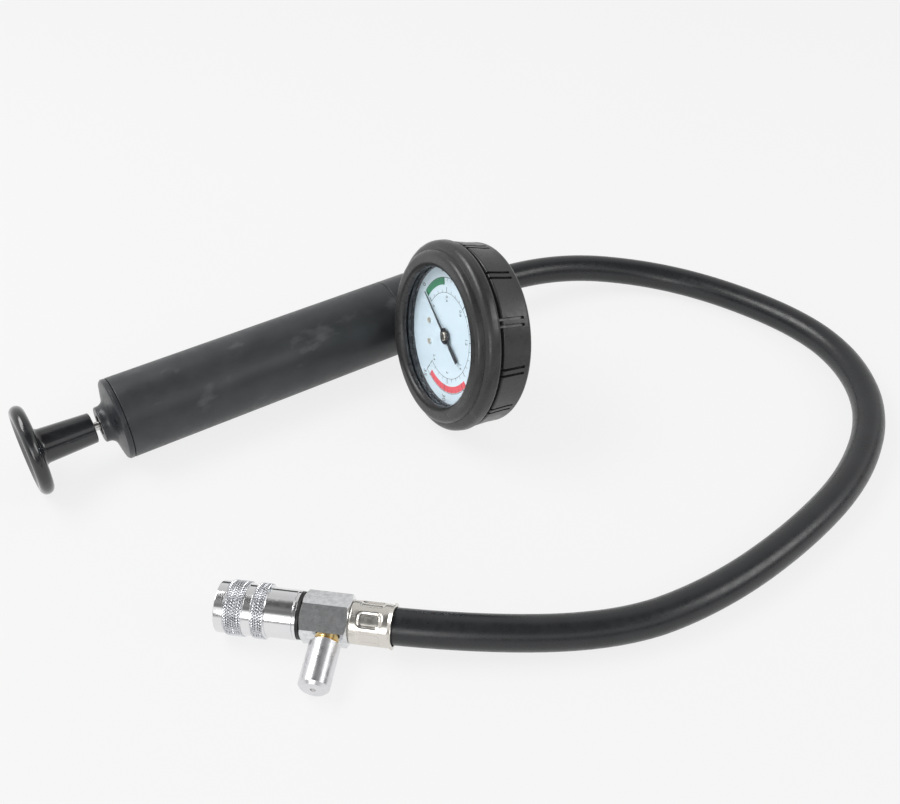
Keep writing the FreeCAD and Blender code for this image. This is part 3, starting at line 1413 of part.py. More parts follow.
def tube_along(path, radius):
    first = path.Edges[0]
    way = first.tangentAt(first.FirstParameter)
    section = Part.Wire([Part.makeCircle(radius, path.Vertexes[0].Point, way)])
    return path.makePipeShell([section], True, False)


hose_outer = tube_along(hose_path, float(S.hose_r))
hose_inner = tube_along(hose_path, float(S.hose_bore_r))
hose = hose_outer.cut(hose_inner)
made("pressure_hose", hose, "floor")
section_area = math.pi * (float(S.hose_r) ** 2 - float(S.hose_bore_r) ** 2)
print("hose length %.1f, radii %s" % (hose_path.Length, [round(r) for r in hose_radii]))
print("hose volume %.0f, section times length %.0f" % (hose.Volume, section_area * hose_path.Length))

places = {
    "pump": pump_group,
    "gauge": pump_group.multiply(gauge_place),
    "fitting": fitting_group,
    "floor": FreeCAD.Placement(),
}
doc.recompute()
for item, group in pieces:
    item.Placement = places[group].multiply(item.Placement)
doc.recompute()

problems = [o.Label for o in doc.Objects if "Invalid" in o.State or "Error" in o.State]
problems += [item.Label for item, group in pieces if item.Shape.isNull() or not item.Shape.isValid()]
if problems:
    raise RuntimeError("not built: " + ", ".join(sorted(set(problems))))

os.makedirs("parts", exist_ok=True)
for item, group in pieces:
    item.Shape.exportStep("parts/" + item.Label + ".step")

box = FreeCAD.BoundBox()
cord_pieces = ("pressure_hose", "end_ferrule", "tee_body", "face_seal", "coupler_body",
               "coupler_sleeve", "coupler_o_ring", "sleeve_spring", "snap_ring", "lock_balls",
               "release_body", "release_cap", "release_pin", "release_seal", "release_spring")
for item, group in pieces:
    if item.Label not in cord_pieces:
        box.add(item.Shape.optimalBoundingBox())
print("roll %.4f, lean %.4f, rise %.4f, drop %.4f" % (
    high_roll, math.degrees(lean), axis_rise, math.degrees(drop)))
print("hose points", [tuple(round(c, 2) for c in spot) for spot in points])
print("box without the hose: x %.2f %.2f, y %.2f %.2f, z %.2f %.2f" % (
    box.XMin, box.XMax, box.YMin, box.YMax, box.ZMin, box.ZMax))
print("%d pieces" % len(pieces))
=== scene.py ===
# %% [markdown]
# A radiator pressure tester: a hand pump lies on a pale floor, a dial gauge in a rubber boot is
# screwed to its head, and a hose runs round to a quick coupler. The moving parts and the sizes
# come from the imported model. This script gives every surface that shows its final form and
# finish, and puts each new piece on the body that it moves with.

# %% Load the model
import math

import bmesh
import bpy
from mathutils import Matrix, Vector
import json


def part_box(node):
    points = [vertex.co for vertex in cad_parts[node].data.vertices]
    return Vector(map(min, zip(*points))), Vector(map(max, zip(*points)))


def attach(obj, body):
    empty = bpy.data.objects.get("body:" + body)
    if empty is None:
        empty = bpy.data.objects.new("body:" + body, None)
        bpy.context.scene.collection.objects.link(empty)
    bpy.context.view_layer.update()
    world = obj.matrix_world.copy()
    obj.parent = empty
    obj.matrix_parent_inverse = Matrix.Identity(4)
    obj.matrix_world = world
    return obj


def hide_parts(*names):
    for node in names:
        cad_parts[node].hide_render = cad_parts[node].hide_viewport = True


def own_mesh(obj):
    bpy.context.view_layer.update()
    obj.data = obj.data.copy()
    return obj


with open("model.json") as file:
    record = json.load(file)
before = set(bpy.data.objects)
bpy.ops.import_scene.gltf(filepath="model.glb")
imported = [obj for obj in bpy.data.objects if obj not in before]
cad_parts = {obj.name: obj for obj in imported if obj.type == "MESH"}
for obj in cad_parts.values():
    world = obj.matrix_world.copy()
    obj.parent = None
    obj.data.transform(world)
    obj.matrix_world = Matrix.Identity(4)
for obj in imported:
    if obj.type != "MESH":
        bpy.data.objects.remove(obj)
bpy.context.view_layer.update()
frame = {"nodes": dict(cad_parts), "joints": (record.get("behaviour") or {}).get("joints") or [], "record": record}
nodes = frame["nodes"]
MM = 0.001

# %% [markdown]
# The pump, the gauge and the fitting each have an axis of their own. It is easiest to model a
# turned piece along X in millimetres and to let one matrix carry it to its place. The joints of
# the model already hold those axes, so the matrices are read from them. Only the few lengths that
# place one group on another are typed here.

# %% The three groups' own axes
joints = {joint["name"]: joint for joint in frame["joints"]}
GAUGE_TURN = math.radians(13.5)
PORT_AT = 180.0
GAUGE_ARM = 78.0
MOUNT_DEPTH = 3.0
VALVE_AT = 52.5


def axis_of(joint):
    return Vector(joints[joint]["axis"]).normalized()


def placement(origin, x_axis, z_axis):
    """A matrix from millimetres along a group's own axes to metres in the shared frame."""
    x_axis = x_axis.normalized()
    z_axis = (z_axis - x_axis * z_axis.dot(x_axis)).normalized()
    y_axis = z_axis.cross(x_axis)
    turn = Matrix((x_axis, y_axis, z_axis)).transposed().to_4x4()
    return Matrix.Translation(origin) @ turn @ Matrix.Scale(MM, 4)


pump_x = -axis_of("plunger_slide")
gauge_in = axis_of("needle_turn")
gauge_centre = Vector(joints["needle_turn"]["pos_m"])
pump_y = (pump_x * math.cos(GAUGE_TURN) - gauge_in) / math.sin(GAUGE_TURN)
shank_way = pump_x.cross(pump_y).normalized()
pump_origin = gauge_centre - (pump_x * PORT_AT + shank_way * GAUGE_ARM) * MM
PUMP = placement(pump_origin, pump_x, shank_way)
GAUGE = placement(gauge_centre, -gauge_in, shank_way)
coupler_way = axis_of("sleeve_slide")
valve_way = -axis_of("release_press")
mouth = Vector(frame["record"]["mounts"][0]["pos_m"]) - coupler_way * MOUNT_DEPTH * MM
FITTING = placement(mouth, coupler_way, valve_way)
VALVE = placement(mouth + coupler_way * VALVE_AT * MM, valve_way, coupler_way)
print("pump starts at", [round(c, 4) for c in pump_origin])

# %% [markdown]
# The camera stands where the photograph was taken from. Its place, direction and lens were
# fitted to the rims and edges in the picture, so the outline of every piece can be compared.

# %% Camera
CAMERA_AT = Vector((-155.95, -418.08, 388.56)) * MM
AZIMUTH, ELEVATION, ROLL = (math.radians(a) for a in (31.5, 39.46, 1.87))
PHOTO_WIDTH = 900
FOCAL_PIXELS = 1040.0
SENSOR_WIDTH = 36.0
forward = Vector((math.sin(AZIMUTH) * math.cos(ELEVATION), math.cos(AZIMUTH) * math.cos(ELEVATION),
                  -math.sin(ELEVATION)))
right = Vector((math.cos(AZIMUTH), -math.sin(AZIMUTH), 0))
down = forward.cross(right)
rolled_right = right * math.cos(ROLL) + down * math.sin(ROLL)
rolled_down = down * math.cos(ROLL) - right * math.sin(ROLL)
camera = bpy.data.objects.new("camera", bpy.data.cameras.new("camera"))
bpy.context.scene.collection.objects.link(camera)
camera.matrix_world = Matrix.Translation(CAMERA_AT) @ Matrix(
    (rolled_right, -rolled_down, -forward)).transposed().to_4x4()
camera.data.sensor_width = SENSOR_WIDTH
camera.data.lens = FOCAL_PIXELS / PHOTO_WIDTH * SENSOR_WIDTH
camera.data.clip_start = 0.02
bpy.context.scene.camera = camera
print("lens:", round(camera.data.lens, 1), "mm")

# %% [markdown]
# Floor, world and finishes are all wired from the same few nodes. A name for each of the steps
# that come back keeps the wiring below short enough to read.

# %% Helpers for shader nodes
scene = bpy.context.scene
scene.view_settings.view_transform = "Standard"


def new_material(name):
    material = bpy.data.materials.new(name)
    material.use_nodes = True
    material.node_tree.nodes.clear()
    return material, material.node_tree


def link(tree, a, b):
    tree.links.new(a, b)


def larger(tree, a, b):
    """The larger of two values."""
    node = tree.nodes.new("ShaderNodeMath")
    node.operation = "MAXIMUM"
    link(tree, a, node.inputs[0])
    link(tree, b, node.inputs[1])
    return node.outputs[0]


def mixed(tree, share, a, b):
    """A shader that goes from a to b as share goes from 0 to 1."""
    node = tree.nodes.new("ShaderNodeMixShader")
    link(tree, share, node.inputs["Fac"])
    link(tree, a, node.inputs[1])
    link(tree, b, node.inputs[2])
    return node.outputs[0]


def background(tree, colour=None):
    """A light from all round, plain if a colour is given."""
    node = tree.nodes.new("ShaderNodeBackground")
    if colour:
        node.inputs["Color"].default_value = colour
    return node

# %% [markdown]
# The floor is almost white. To the camera it is mostly a plain pale light, mixed with a little
# real floor, so that a faint shadow stays under the tester.

# %% Floor
BACKGROUND = (0.94, 0.94, 0.94, 1)
FLOOR_PAINT = (0.8, 0.8, 0.8, 1)
PLAIN_SHARE = 0.86
FLOOR_SIZE, FLOOR_DROP = 6.0, 0.0002


def seen_directly(tree):
    """1 for rays from the camera, off a mirror or through glass, and 0 for plain light."""
    path = tree.nodes.new("ShaderNodeLightPath")
    share = path.outputs["Is Camera Ray"]
    for other in ("Is Glossy Ray", "Is Transmission Ray"):
        share = larger(tree, share, path.outputs[other])
    return share


def floor_material():
    material, tree = new_material("pale_floor")
    out = tree.nodes.new("ShaderNodeOutputMaterial")
    glow = tree.nodes.new("ShaderNodeEmission")
    glow.inputs["Color"].default_value = BACKGROUND
    real = tree.nodes.new("ShaderNodeBsdfDiffuse")
    real.inputs["Color"].default_value = FLOOR_PAINT
    seen = tree.nodes.new("ShaderNodeMath")
    seen.operation = "MULTIPLY"
    seen.inputs[1].default_value = PLAIN_SHARE
    link(tree, seen_directly(tree), seen.inputs[0])
    surface = mixed(tree, seen.outputs[0], real.outputs[0], glow.outputs[0])
    link(tree, surface, out.inputs["Surface"])
    return material


floor_mesh = bmesh.new()
bmesh.ops.create_grid(floor_mesh, x_segments=1, y_segments=1, size=FLOOR_SIZE)
floor_data = bpy.data.meshes.new("floor")
floor_mesh.to_mesh(floor_data)
floor_mesh.free()
floor = bpy.data.objects.new("floor", floor_data)
floor.location.z = -FLOOR_DROP
scene.collection.objects.link(floor)
floor.data.materials.append(floor_material())
print("floor:", 2 * FLOOR_SIZE, "m wide")

# %% [markdown]
# Chrome shows the room it stands in. A white room alone would make it look like paint, so mirrored
# rays see a room of their own, in bands of grey by height above the horizon. Its bright and dark
# bands are the stripes on the coupler, and the dark upper part is what the hexagon's middle face
# shows. The half of the room behind the tester is paler, as it is in a light tent.

# %% World
DOME = (0.5, 0.5, 0.5, 1)
FRONT = ((0.0, 0.6), (0.10, 0.5), (0.17, 0.05), (0.25, 0.08), (0.34, 1.0), (0.62, 1.0),
         (0.68, 0.26), (1.0, 0.05))
BACK = ((0.0, 0.85), (0.50, 0.70), (0.86, 0.62), (0.95, 0.10), (1.0, 0.05))
FADE = 0.2
world = bpy.data.worlds.new("studio")
scene.world = world
world.use_nodes = True
tree = world.node_tree
tree.nodes.clear()
out = tree.nodes.new("ShaderNodeOutputWorld")
plain = background(tree, BACKGROUND)
dome = background(tree, DOME)
place = tree.nodes.new("ShaderNodeTexCoord")
split = tree.nodes.new("ShaderNodeSeparateXYZ")
link(tree, place.outputs["Generated"], split.inputs[0])


def heights(stops):
    """A grey that depends on how high above the horizon a mirrored ray goes."""
    ramp = tree.nodes.new("ShaderNodeValToRGB")
    while len(ramp.color_ramp.elements) < len(stops):
        ramp.color_ramp.elements.new(0.5)
    for stop, (height, grey) in zip(ramp.color_ramp.elements, stops):
        stop.position = height
        stop.color = (grey, grey, grey, 1)
    link(tree, split.outputs["Z"], ramp.inputs["Fac"])
    return ramp.outputs["Color"]


behind = tree.nodes.new("ShaderNodeMapRange")
behind.inputs["From Min"].default_value = -FADE
behind.inputs["From Max"].default_value = FADE
link(tree, split.outputs["Y"], behind.inputs["Value"])
room = tree.nodes.new("ShaderNodeMix")
room.data_type = "RGBA"
link(tree, behind.outputs["Result"], room.inputs["Factor"])
link(tree, heights(FRONT), room.inputs["A"])
link(tree, heights(BACK), room.inputs["B"])
mirrored = background(tree)
link(tree, room.outputs["Result"], mirrored.inputs["Color"])
path = tree.nodes.new("ShaderNodeLightPath")
shine = mixed(tree, path.outputs["Is Glossy Ray"], dome.outputs[0], mirrored.outputs[0])
direct = larger(tree, path.outputs["Is Camera Ray"], path.outputs["Is Transmission Ray"])
link(tree, mixed(tree, direct, shine, plain.outputs[0]), out.inputs["Surface"])
print("room bands:", len(FRONT), "in front and", len(BACK), "behind")

# %% [markdown]
# Three weak softboxes stand over the pale room. They only give the rubber and the plastic a soft
# direction of light, because the room itself already fills every shadow.

# %% Lamps
LAMPS = (
    # name, place, aim, size, watts
    ("key_light", (-0.5, 0.5, 1.1), (0.0, -0.02, 0), (0.9, 0.5), 9.0),
    ("side_light", (0.9, -0.9, 0.8), (0.1, -0.05, 0), (0.6, 0.6), 4.0),
    ("front_light", (-0.9, -0.8, 0.45), (-0.05, -0.05, 0), (0.5, 0.5), 2.5),
)
for name, at, aim, size, watts in LAMPS:
    lamp = bpy.data.lights.new(name, "AREA")
    lamp.shape = "RECTANGLE"
    lamp.size, lamp.size_y = size
    lamp.energy = watts
    holder = bpy.data.objects.new(name, lamp)
    holder.location = at
    holder.rotation_euler = (Vector(aim) - Vector(at)).to_track_quat("-Z", "Y").to_euler()
    scene.collection.objects.link(holder)
print("lamps:", len(LAMPS))

# %% [markdown]
# Almost every piece of the tester was turned on a lathe or moulded round, so one helper does most
# of the modelling: it rounds the corners of an outline, spins it about X, closes the poles and
# carries it to its place. Corners are rounded in the outline itself, because that gives clean
# bright edges without a bevel that has to find them again.

# %% Helpers for turned pieces
ARC_STEP = math.radians(15)
FULL_TURN = 2 * math.pi
WELD, SLIVER = 1e-4, 1e-5


def rounded(corners):
    """The outline with each corner (x, r, rounding) replaced by an arc of that radius."""
    points = []
    count = len(corners)
    for i, corner in enumerate(corners):
        here = Vector(corner[:2])
        radius = corner[2] if len(corner) > 2 else 0
        if not radius:
            points.append(here)
            continue
        before = (Vector(corners[i - 1][:2]) - here).normalized()
        after = (Vector(corners[(i + 1) % count][:2]) - here).normalized()
        half = before.angle(after) / 2
        centre = here + (before + after).normalized() * (radius / math.sin(half))
        start = here + before * (radius / math.tan(half)) - centre
        end = here + after * (radius / math.tan(half)) - centre
        sweep = start.angle_signed(end)
        steps = max(2, math.ceil(abs(sweep) / ARC_STEP))
        for k in range(steps + 1):
            turn = -sweep * k / steps
            points.append(centre + Matrix.Rotation(turn, 2) @ start)
    return points


def spin_about_x(mesh, geometry, steps, sweep=FULL_TURN, merge=True):
    bmesh.ops.spin(mesh, geom=geometry, cent=(0, 0, 0), axis=(1, 0, 0), dvec=(0, 0, 0),
                   angle=sweep, steps=steps, use_merge=merge)


def turned_about_x(mesh, angle):
    bmesh.ops.rotate(mesh, verts=mesh.verts, cent=(0, 0, 0), matrix=Matrix.Rotation(angle, 3, "X"))
    return mesh


def thickened(mesh, depth):
    """A flat sheet made into a closed plate that is depth thick along X."""
    grown = bmesh.ops.extrude_face_region(mesh, geom=list(mesh.faces))
    moved = [v for v in grown["geom"] if isinstance(v, bmesh.types.BMVert)]
    bmesh.ops.translate(mesh, verts=moved, vec=(depth, 0, 0))
    bmesh.ops.recalc_face_normals(mesh, faces=mesh.faces)
    return mesh


def spun(corners, closed=True, steps=128):
    """A bmesh of the rounded outline spun round the X axis."""
    mesh = bmesh.new()
    ring = [mesh.verts.new((p.x, 0, p.y)) for p in rounded(corners)]
    edges = [mesh.edges.new(pair) for pair in zip(ring, ring[1:])]
    if closed:
        edges.append(mesh.edges.new((ring[-1], ring[0])))
    spin_about_x(mesh, ring + edges, steps)
    bmesh.ops.remove_doubles(mesh, verts=mesh.verts, dist=WELD)
    bmesh.ops.dissolve_degenerate(mesh, edges=mesh.edges, dist=SLIVER)
    bmesh.ops.recalc_face_normals(mesh, faces=mesh.faces)
    return mesh


def piece(name, mesh, where, material, body, stands_for=(), sharp=35.0):
    """Writes a bmesh as an object at its place, gives it a finish, and lets it ride on a body."""
    bmesh.ops.transform(mesh, matrix=where, verts=mesh.verts)
    data = bpy.data.meshes.new(name)
    mesh.to_mesh(data)
    mesh.free()
    data.polygons.foreach_set("use_smooth", [True] * len(data.polygons))
    data.set_sharp_from_angle(angle=math.radians(sharp))
    data.materials.append(material)
    made = bpy.data.objects.new(name, data)
    scene.collection.objects.link(made)
    even = made.modifiers.new("even_normals", "WEIGHTED_NORMAL")
    even.keep_sharp = True
    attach(made, body)
    if stands_for:
        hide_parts(*stands_for)
    print(name, "on", body, "faces:", len(data.polygons))
    return made


# %% [markdown]
# Holes, flats and grooves are cut with a second closed shape, as a drill or a cutter would leave
# them. Booleans work on objects, so both shapes become scratch objects for a moment.

# %% Helpers for cut pieces
def joined(base, other):
    """Adds one bmesh to another."""
    data = bpy.data.meshes.new("part")
    other.to_mesh(data)
    other.free()
    base.from_mesh(data)
    bpy.data.meshes.remove(data)
    return base


def carved(mesh, tools, operation="DIFFERENCE", solver="EXACT"):
    """The bmesh with other closed bmeshes cut out of it."""
    before = mesh.calc_volume()
    scratch = []
    for source in (mesh, tools):
        data = bpy.data.meshes.new("scratch")
        source.to_mesh(data)
        source.free()
        holder = bpy.data.objects.new("scratch", data)
        scene.collection.objects.link(holder)
        scratch.append(holder)
    cut = scratch[0].modifiers.new("cut", "BOOLEAN")
    cut.object = scratch[1]
    cut.operation = operation
    cut.solver = solver
    evaluated = scratch[0].evaluated_get(bpy.context.evaluated_depsgraph_get())
    data = bpy.data.meshes.new_from_object(evaluated)
    result = bmesh.new()
    result.from_mesh(data)
    bpy.data.meshes.remove(data)
    for holder in scratch:
        bpy.data.objects.remove(holder)
    print("carved: volume", round(before, 1), "->", round(result.calc_volume(), 1))
    return result


def rod(radius, start, end, segments=48):
    """A round bar as a bmesh, from one point to another."""
    mesh = bmesh.new()
    start, end = Vector(start), Vector(end)
    way = end - start
    turn = way.to_track_quat("Z", "Y").to_matrix().to_4x4()
    bmesh.ops.create_cone(mesh, cap_ends=True, segments=segments, radius1=radius, radius2=radius,
                          depth=way.length, matrix=Matrix.Translation((start + end) / 2) @ turn)
    return mesh


def block(low, high):
    """A box as a bmesh, from its lowest to its highest corner."""
    mesh = bmesh.new()
    low, high = Vector(low), Vector(high)
    size = Matrix.Diagonal(high - low).to_4x4()
    bmesh.ops.create_cube(mesh, size=1.0, matrix=Matrix.Translation((low + high) / 2) @ size)
    return mesh

# %% [markdown]
# Each finish is one material with the same few layers: a slow cloud that shifts the colour a
# little, a finer one that shifts the gloss, a fine grain as bump, and for worn plastic some pale
# scuffs. All of them read Object coordinates in metres, so a pattern keeps its real size.

# %% Helpers for finishes
SCUFF_SCALE, SCUFF_DETAIL, SCUFF_STRETCH = 38.0, 9.0, (1.0, 1.8, 1.8)
SCUFF_FROM, SCUFF_TO, SCUFF_PALE = 0.59, 0.74, 0.14
# Painted shade in the knurl's valleys: the relief levels over which it fades in, and how dark it makes the colour.
VALLEY_SHADE_FROM, VALLEY_SHADE_TO, VALLEY_SHADE_TONE = 0.05, 0.45, 0.38
COAT_ROUGH = 0.12
GRAIN_HEIGHT, GRAIN_STRENGTH = 0.00005, 10


def noise(tree, place, scale, detail=3.0, stretch=None):
    node = tree.nodes.new("ShaderNodeTexNoise")
    node.inputs["Scale"].default_value = scale
    node.inputs["Detail"].default_value = detail
    source = place.outputs["Object"]
    if stretch:
        mapping = tree.nodes.new("ShaderNodeMapping")
        mapping.inputs["Scale"].default_value = stretch
        link(tree, source, mapping.inputs["Vector"])
        source = mapping.outputs["Vector"]
    link(tree, source, node.inputs["Vector"])
    return node


def span(tree, source, low, high, from_low=0.3, from_high=0.7):
    node = tree.nodes.new("ShaderNodeMapRange")
    node.inputs["From Min"].default_value = from_low
    node.inputs["From Max"].default_value = from_high
    node.inputs["To Min"].default_value = low
    node.inputs["To Max"].default_value = high
    link(tree, source, node.inputs["Value"])
    return node.outputs["Result"]


def blend_colour(tree, share, a, b):
    node = tree.nodes.new("ShaderNodeMix")
    node.data_type = "RGBA"
    for socket, value in ((node.inputs["A"], a), (node.inputs["B"], b)):
        if isinstance(value, tuple):
            socket.default_value = value
        else:
            link(tree, value, socket)
    link(tree, share, node.inputs["Factor"])
    return node.outputs["Result"]


def finish(name, colour, rough, metal=0.0, drift=0.15, cloud=60.0, gloss_drift=0.06,
           grain=2500.0, grain_depth=0.02, scuffs=0.0, coat=0.0, streak=None, shaded_valleys=None):
    """A moulded, rubber or metal finish. A named relief attribute darkens its low places as painted shade."""
    material, tree = new_material(name)
    out = tree.nodes.new("ShaderNodeOutputMaterial")
    skin = tree.nodes.new("ShaderNodeBsdfPrincipled")
    link(tree, skin.outputs[0], out.inputs["Surface"])
    place = tree.nodes.new("ShaderNodeTexCoord")
    slow = noise(tree, place, cloud)
    dark = tuple(c * (1 - drift) for c in colour) + (1,)
    light = tuple(min(1.0, c * (1 + drift)) for c in colour) + (1,)
    tone = blend_colour(tree, span(tree, slow.outputs["Fac"], 0, 1), dark, light)
    fine = noise(tree, place, cloud * 5, 4.0, streak)
    gloss = span(tree, fine.outputs["Fac"], rough - gloss_drift, rough + gloss_drift)
    if scuffs:
        rub = noise(tree, place, SCUFF_SCALE, SCUFF_DETAIL, SCUFF_STRETCH)
        share = span(tree, rub.outputs["Fac"], 0, scuffs, SCUFF_FROM, SCUFF_TO)
        pale = tuple(min(1.0, c + SCUFF_PALE) for c in colour) + (1,)
        tone = blend_colour(tree, share, tone, pale)
    # Painted shade: the low places of the named relief get a darker colour, as if shadowed.
    if shaded_valleys:
        relief = tree.nodes.new("ShaderNodeAttribute")
        relief.attribute_name = shaded_valleys
        share = span(tree, relief.outputs["Fac"], 0, 1, VALLEY_SHADE_FROM, VALLEY_SHADE_TO)
        tone = blend_colour(tree, share, tuple(c * VALLEY_SHADE_TONE for c in colour) + (1,), tone)
    link(tree, tone, skin.inputs["Base Color"])
    link(tree, gloss, skin.inputs["Roughness"])
    skin.inputs["Metallic"].default_value = metal
    skin.inputs["Coat Weight"].default_value = coat
    skin.inputs["Coat Roughness"].default_value = COAT_ROUGH
    tiny = noise(tree, place, grain, 2.0)
    bump = tree.nodes.new("ShaderNodeBump")
    bump.inputs["Strength"].default_value = grain_depth * GRAIN_STRENGTH
    bump.inputs["Distance"].default_value = GRAIN_HEIGHT
    link(tree, tiny.outputs["Fac"], bump.inputs["Height"])
    link(tree, bump.outputs["Normal"], skin.inputs["Normal"])
    return material

# %% [markdown]
# The black parts are not one black: the knob is glossy, the cap and the barrel are matt and worn,
# and the boot and the hose are rubber. The bright parts differ as much: polished chrome, chrome
# over a milled surface, satin chrome, warm nickel, and brass where a thread shows.

# %% Finishes
knob_plastic = finish("knob_plastic", (0.013, 0.014, 0.016), 0.20, coat=0.5, scuffs=0.2)
barrel_plastic = finish("barrel_plastic", (0.036, 0.039, 0.042), 0.40, drift=0.2, scuffs=0.5,
                        grain_depth=0.04)
cap_plastic = finish("cap_plastic", (0.03, 0.032, 0.036), 0.33, scuffs=0.3)
boot_rubber = finish("boot_rubber", (0.032, 0.032, 0.033), 0.31, drift=0.15, gloss_drift=0.08,
                     scuffs=0.2, grain_depth=0.05)
hose_rubber = finish("hose_rubber", (0.018, 0.019, 0.021), 0.30, drift=0.15, grain_depth=0.04)
seal_rubber = finish("seal_rubber", (0.012, 0.012, 0.012), 0.45)
chrome = finish("chrome", (0.80, 0.80, 0.81), 0.10, metal=1.0, drift=0.03, gloss_drift=0.03,
                grain_depth=0.004)
milled_chrome = finish("milled_chrome", (0.74, 0.75, 0.76), 0.13, metal=1.0, drift=0.12,
                       cloud=420.0, gloss_drift=0.08, grain_depth=0.003)
satin_chrome = finish("satin_chrome", (0.76, 0.76, 0.78), 0.30, metal=1.0, drift=0.05,
                      gloss_drift=0.05)
# The knurl's valleys are darkened as painted shade.
knurl_chrome = finish("knurl_chrome", (0.74, 0.75, 0.78), 0.16, metal=1.0, drift=0.08,
                      gloss_drift=0.05, shaded_valleys="knurl_height")
hub_metal = finish("hub_metal", (0.62, 0.58, 0.50), 0.25, metal=1.0, drift=0.15, cloud=500.0)
screw_metal = finish("screw_metal", (0.70, 0.66, 0.58), 0.45, metal=0.6, drift=0.15, cloud=500.0)
nickel = finish("nickel", (0.74, 0.71, 0.66), 0.24, metal=1.0, drift=0.05, gloss_drift=0.06)
steel = finish("steel", (0.62, 0.61, 0.60), 0.20, metal=1.0, drift=0.05, gloss_drift=0.05,
               streak=(1, 12, 12))
brass = finish("brass", (0.78, 0.58, 0.27), 0.22, metal=1.0, drift=0.08)
copper = finish("copper", (0.78, 0.42, 0.28), 0.3, metal=1.0)
nylon = finish("nylon", (0.68, 0.66, 0.6), 0.45)
case_black = finish("case_black", (0.02, 0.022, 0.026), 0.28, coat=0.3)
dial_enamel = finish("dial_enamel", (0.60, 0.71, 0.77), 0.35, drift=0.02, cloud=30.0,
                     grain_depth=0.005)
print_black = finish("print_black", (0.03, 0.035, 0.04), 0.5)
print_green = finish("print_green", (0.0, 0.19, 0.075), 0.6, drift=0.05)
print_red = finish("print_red", (0.70, 0.07, 0.09), 0.6, drift=0.05)
print("finishes are ready")

# %% [markdown]
# The lens is flat clear plastic. Real plastic lets daylight through to the dial, which a solid
# refracting shader would block, so shadow rays pass it. Its index is low, because a full
# reflection would veil the fine print.

# %% Clear lens
LENS_TINT, LENS_INDEX = (0.97, 0.985, 1.0, 1), 1.18
SMEAR_SCALE, SMEAR_ROUGH = 40.0, 0.04


def lens_material():
    material, tree = new_material("clear_lens")
    out = tree.nodes.new("ShaderNodeOutputMaterial")
    skin = tree.nodes.new("ShaderNodeBsdfPrincipled")
    skin.inputs["Base Color"].default_value = LENS_TINT
    skin.inputs["IOR"].default_value = LENS_INDEX
    skin.inputs["Transmission Weight"].default_value = 1.0
    place = tree.nodes.new("ShaderNodeTexCoord")
    smear = noise(tree, place, SMEAR_SCALE)
    link(tree, span(tree, smear.outputs["Fac"], 0.0, SMEAR_ROUGH), skin.inputs["Roughness"])
    clear = tree.nodes.new("ShaderNodeBsdfTransparent")
    path = tree.nodes.new("ShaderNodeLightPath")
    surface = mixed(tree, path.outputs["Is Shadow Ray"], skin.outputs[0], clear.outputs[0])
    link(tree, surface, out.inputs["Surface"])
    return material


clear_lens = lens_material()
print("lens material:", clear_lens.name)

# %% [markdown]
# The knob is one moulding: a dished disc with a thick round rim on a tapered stem. The dish and
# the rim are what catches the light, so the outline spends its arcs there.

# %% Handle knob
KNOB_FACE, DISC_BACK, STEM_END = -51.6, -44.1, -14.6
knob = spun([
    (KNOB_FACE + 2.6, 0),
    (KNOB_FACE + 2.4, 15.5, 8.0),
    (KNOB_FACE, 20.6, 1.5),
    (KNOB_FACE, 25.0, 3.7),
    (DISC_BACK, 25.0, 3.7),
    (DISC_BACK, 9.8, 3.2),
    (STEM_END, 8.5, 0.8),
    (STEM_END, 4.6),
    (STEM_END - 16.0, 4.6),
    (STEM_END - 16.0, 0),
], closed=False)
piece("moulded_knob", knob, PUMP, knob_plastic, "plunger", ["handle_knob"])

# %% [markdown]
# The end cap closes the barrel. Its boss runs down into the rim in one concave sweep, and a small
# vent hole lets air in behind the piston.

# %% End cap
VENT_R, VENT_AT, VENT_TURN = 2.0, 15.3, math.radians(80.0)
cap = spun([
    (-11.0, 5.5),
    (-11.0, 10.0, 0.8),
    (-5.9, 10.0, 4.6),
    (-3.1, 22.2, 0.5),
    (-2.2, 23.0, 0.4),
    (-0.4, 23.0, 0.3),
    (0.1, 22.3),
    (0.1, 20.4),
    (12.0, 20.4),
    (12.0, 17.9),
    (0.0, 17.9),
    (0.0, 8.1),
    (9.0, 8.1),
    (9.0, 5.5),
])
vent_y, vent_z = VENT_AT * math.cos(VENT_TURN), VENT_AT * math.sin(VENT_TURN)
cap = carved(cap, rod(VENT_R, (-14, vent_y, vent_z), (2, vent_y, vent_z), 32))
piece("moulded_end_cap", cap, PUMP, cap_plastic, "root", ["end_cap"])

# %% [markdown]
# The barrel is a plain tube with a small round on both mouths. The thin line at the cap is the
# gap between two rounded edges, so it is modelled and not painted.

# %% Barrel
BARREL_LEN = 170.0
barrel = spun([
    (0.15, 20.5),
    (0.15, 23.0, 0.5),
    (BARREL_LEN - 0.1, 23.0, 0.5),
    (BARREL_LEN - 0.1, 20.5),
], steps=160)
piece("moulded_barrel", barrel, PUMP, barrel_plastic, "root", ["barrel_tube"])

# %% [markdown]
# The head is a turned plug with a flat seat on its side for the gauge's shank.

# %% Pump head
HEAD_END, PORT_FLAT = 190.0, 22.0
FLAT_HALF, PORT_R = 13, 6.5
head = spun([
    (160.0, 2.5),
    (160.0, 20.45, 0.8),
    (170.0, 20.45),
    (170.1, 23.0, 0.4),
    (HEAD_END, 23.0, 2.0),
    (HEAD_END, 5.0),
    (184.0, 5.0),
    (184.0, 2.5),
])
head = carved(head, block((PORT_AT - FLAT_HALF, -FLAT_HALF, PORT_FLAT),
                          (PORT_AT + FLAT_HALF, FLAT_HALF, PORT_FLAT + 4)))
head = carved(head, rod(PORT_R, (PORT_AT, 0, 10), (PORT_AT, 0, 30)))
piece("turned_head", head, PUMP, cap_plastic, "root", ["pump_head"])

# %% [markdown]
# The boot is a stretched rubber moulding: a fat round lip in front, a groove, and a broad band
# with twelve ribs. Each rib is drawn by two narrow grooves, which are cut out so that they hold
# real shadow. The slot at six o'clock lets the shank through.

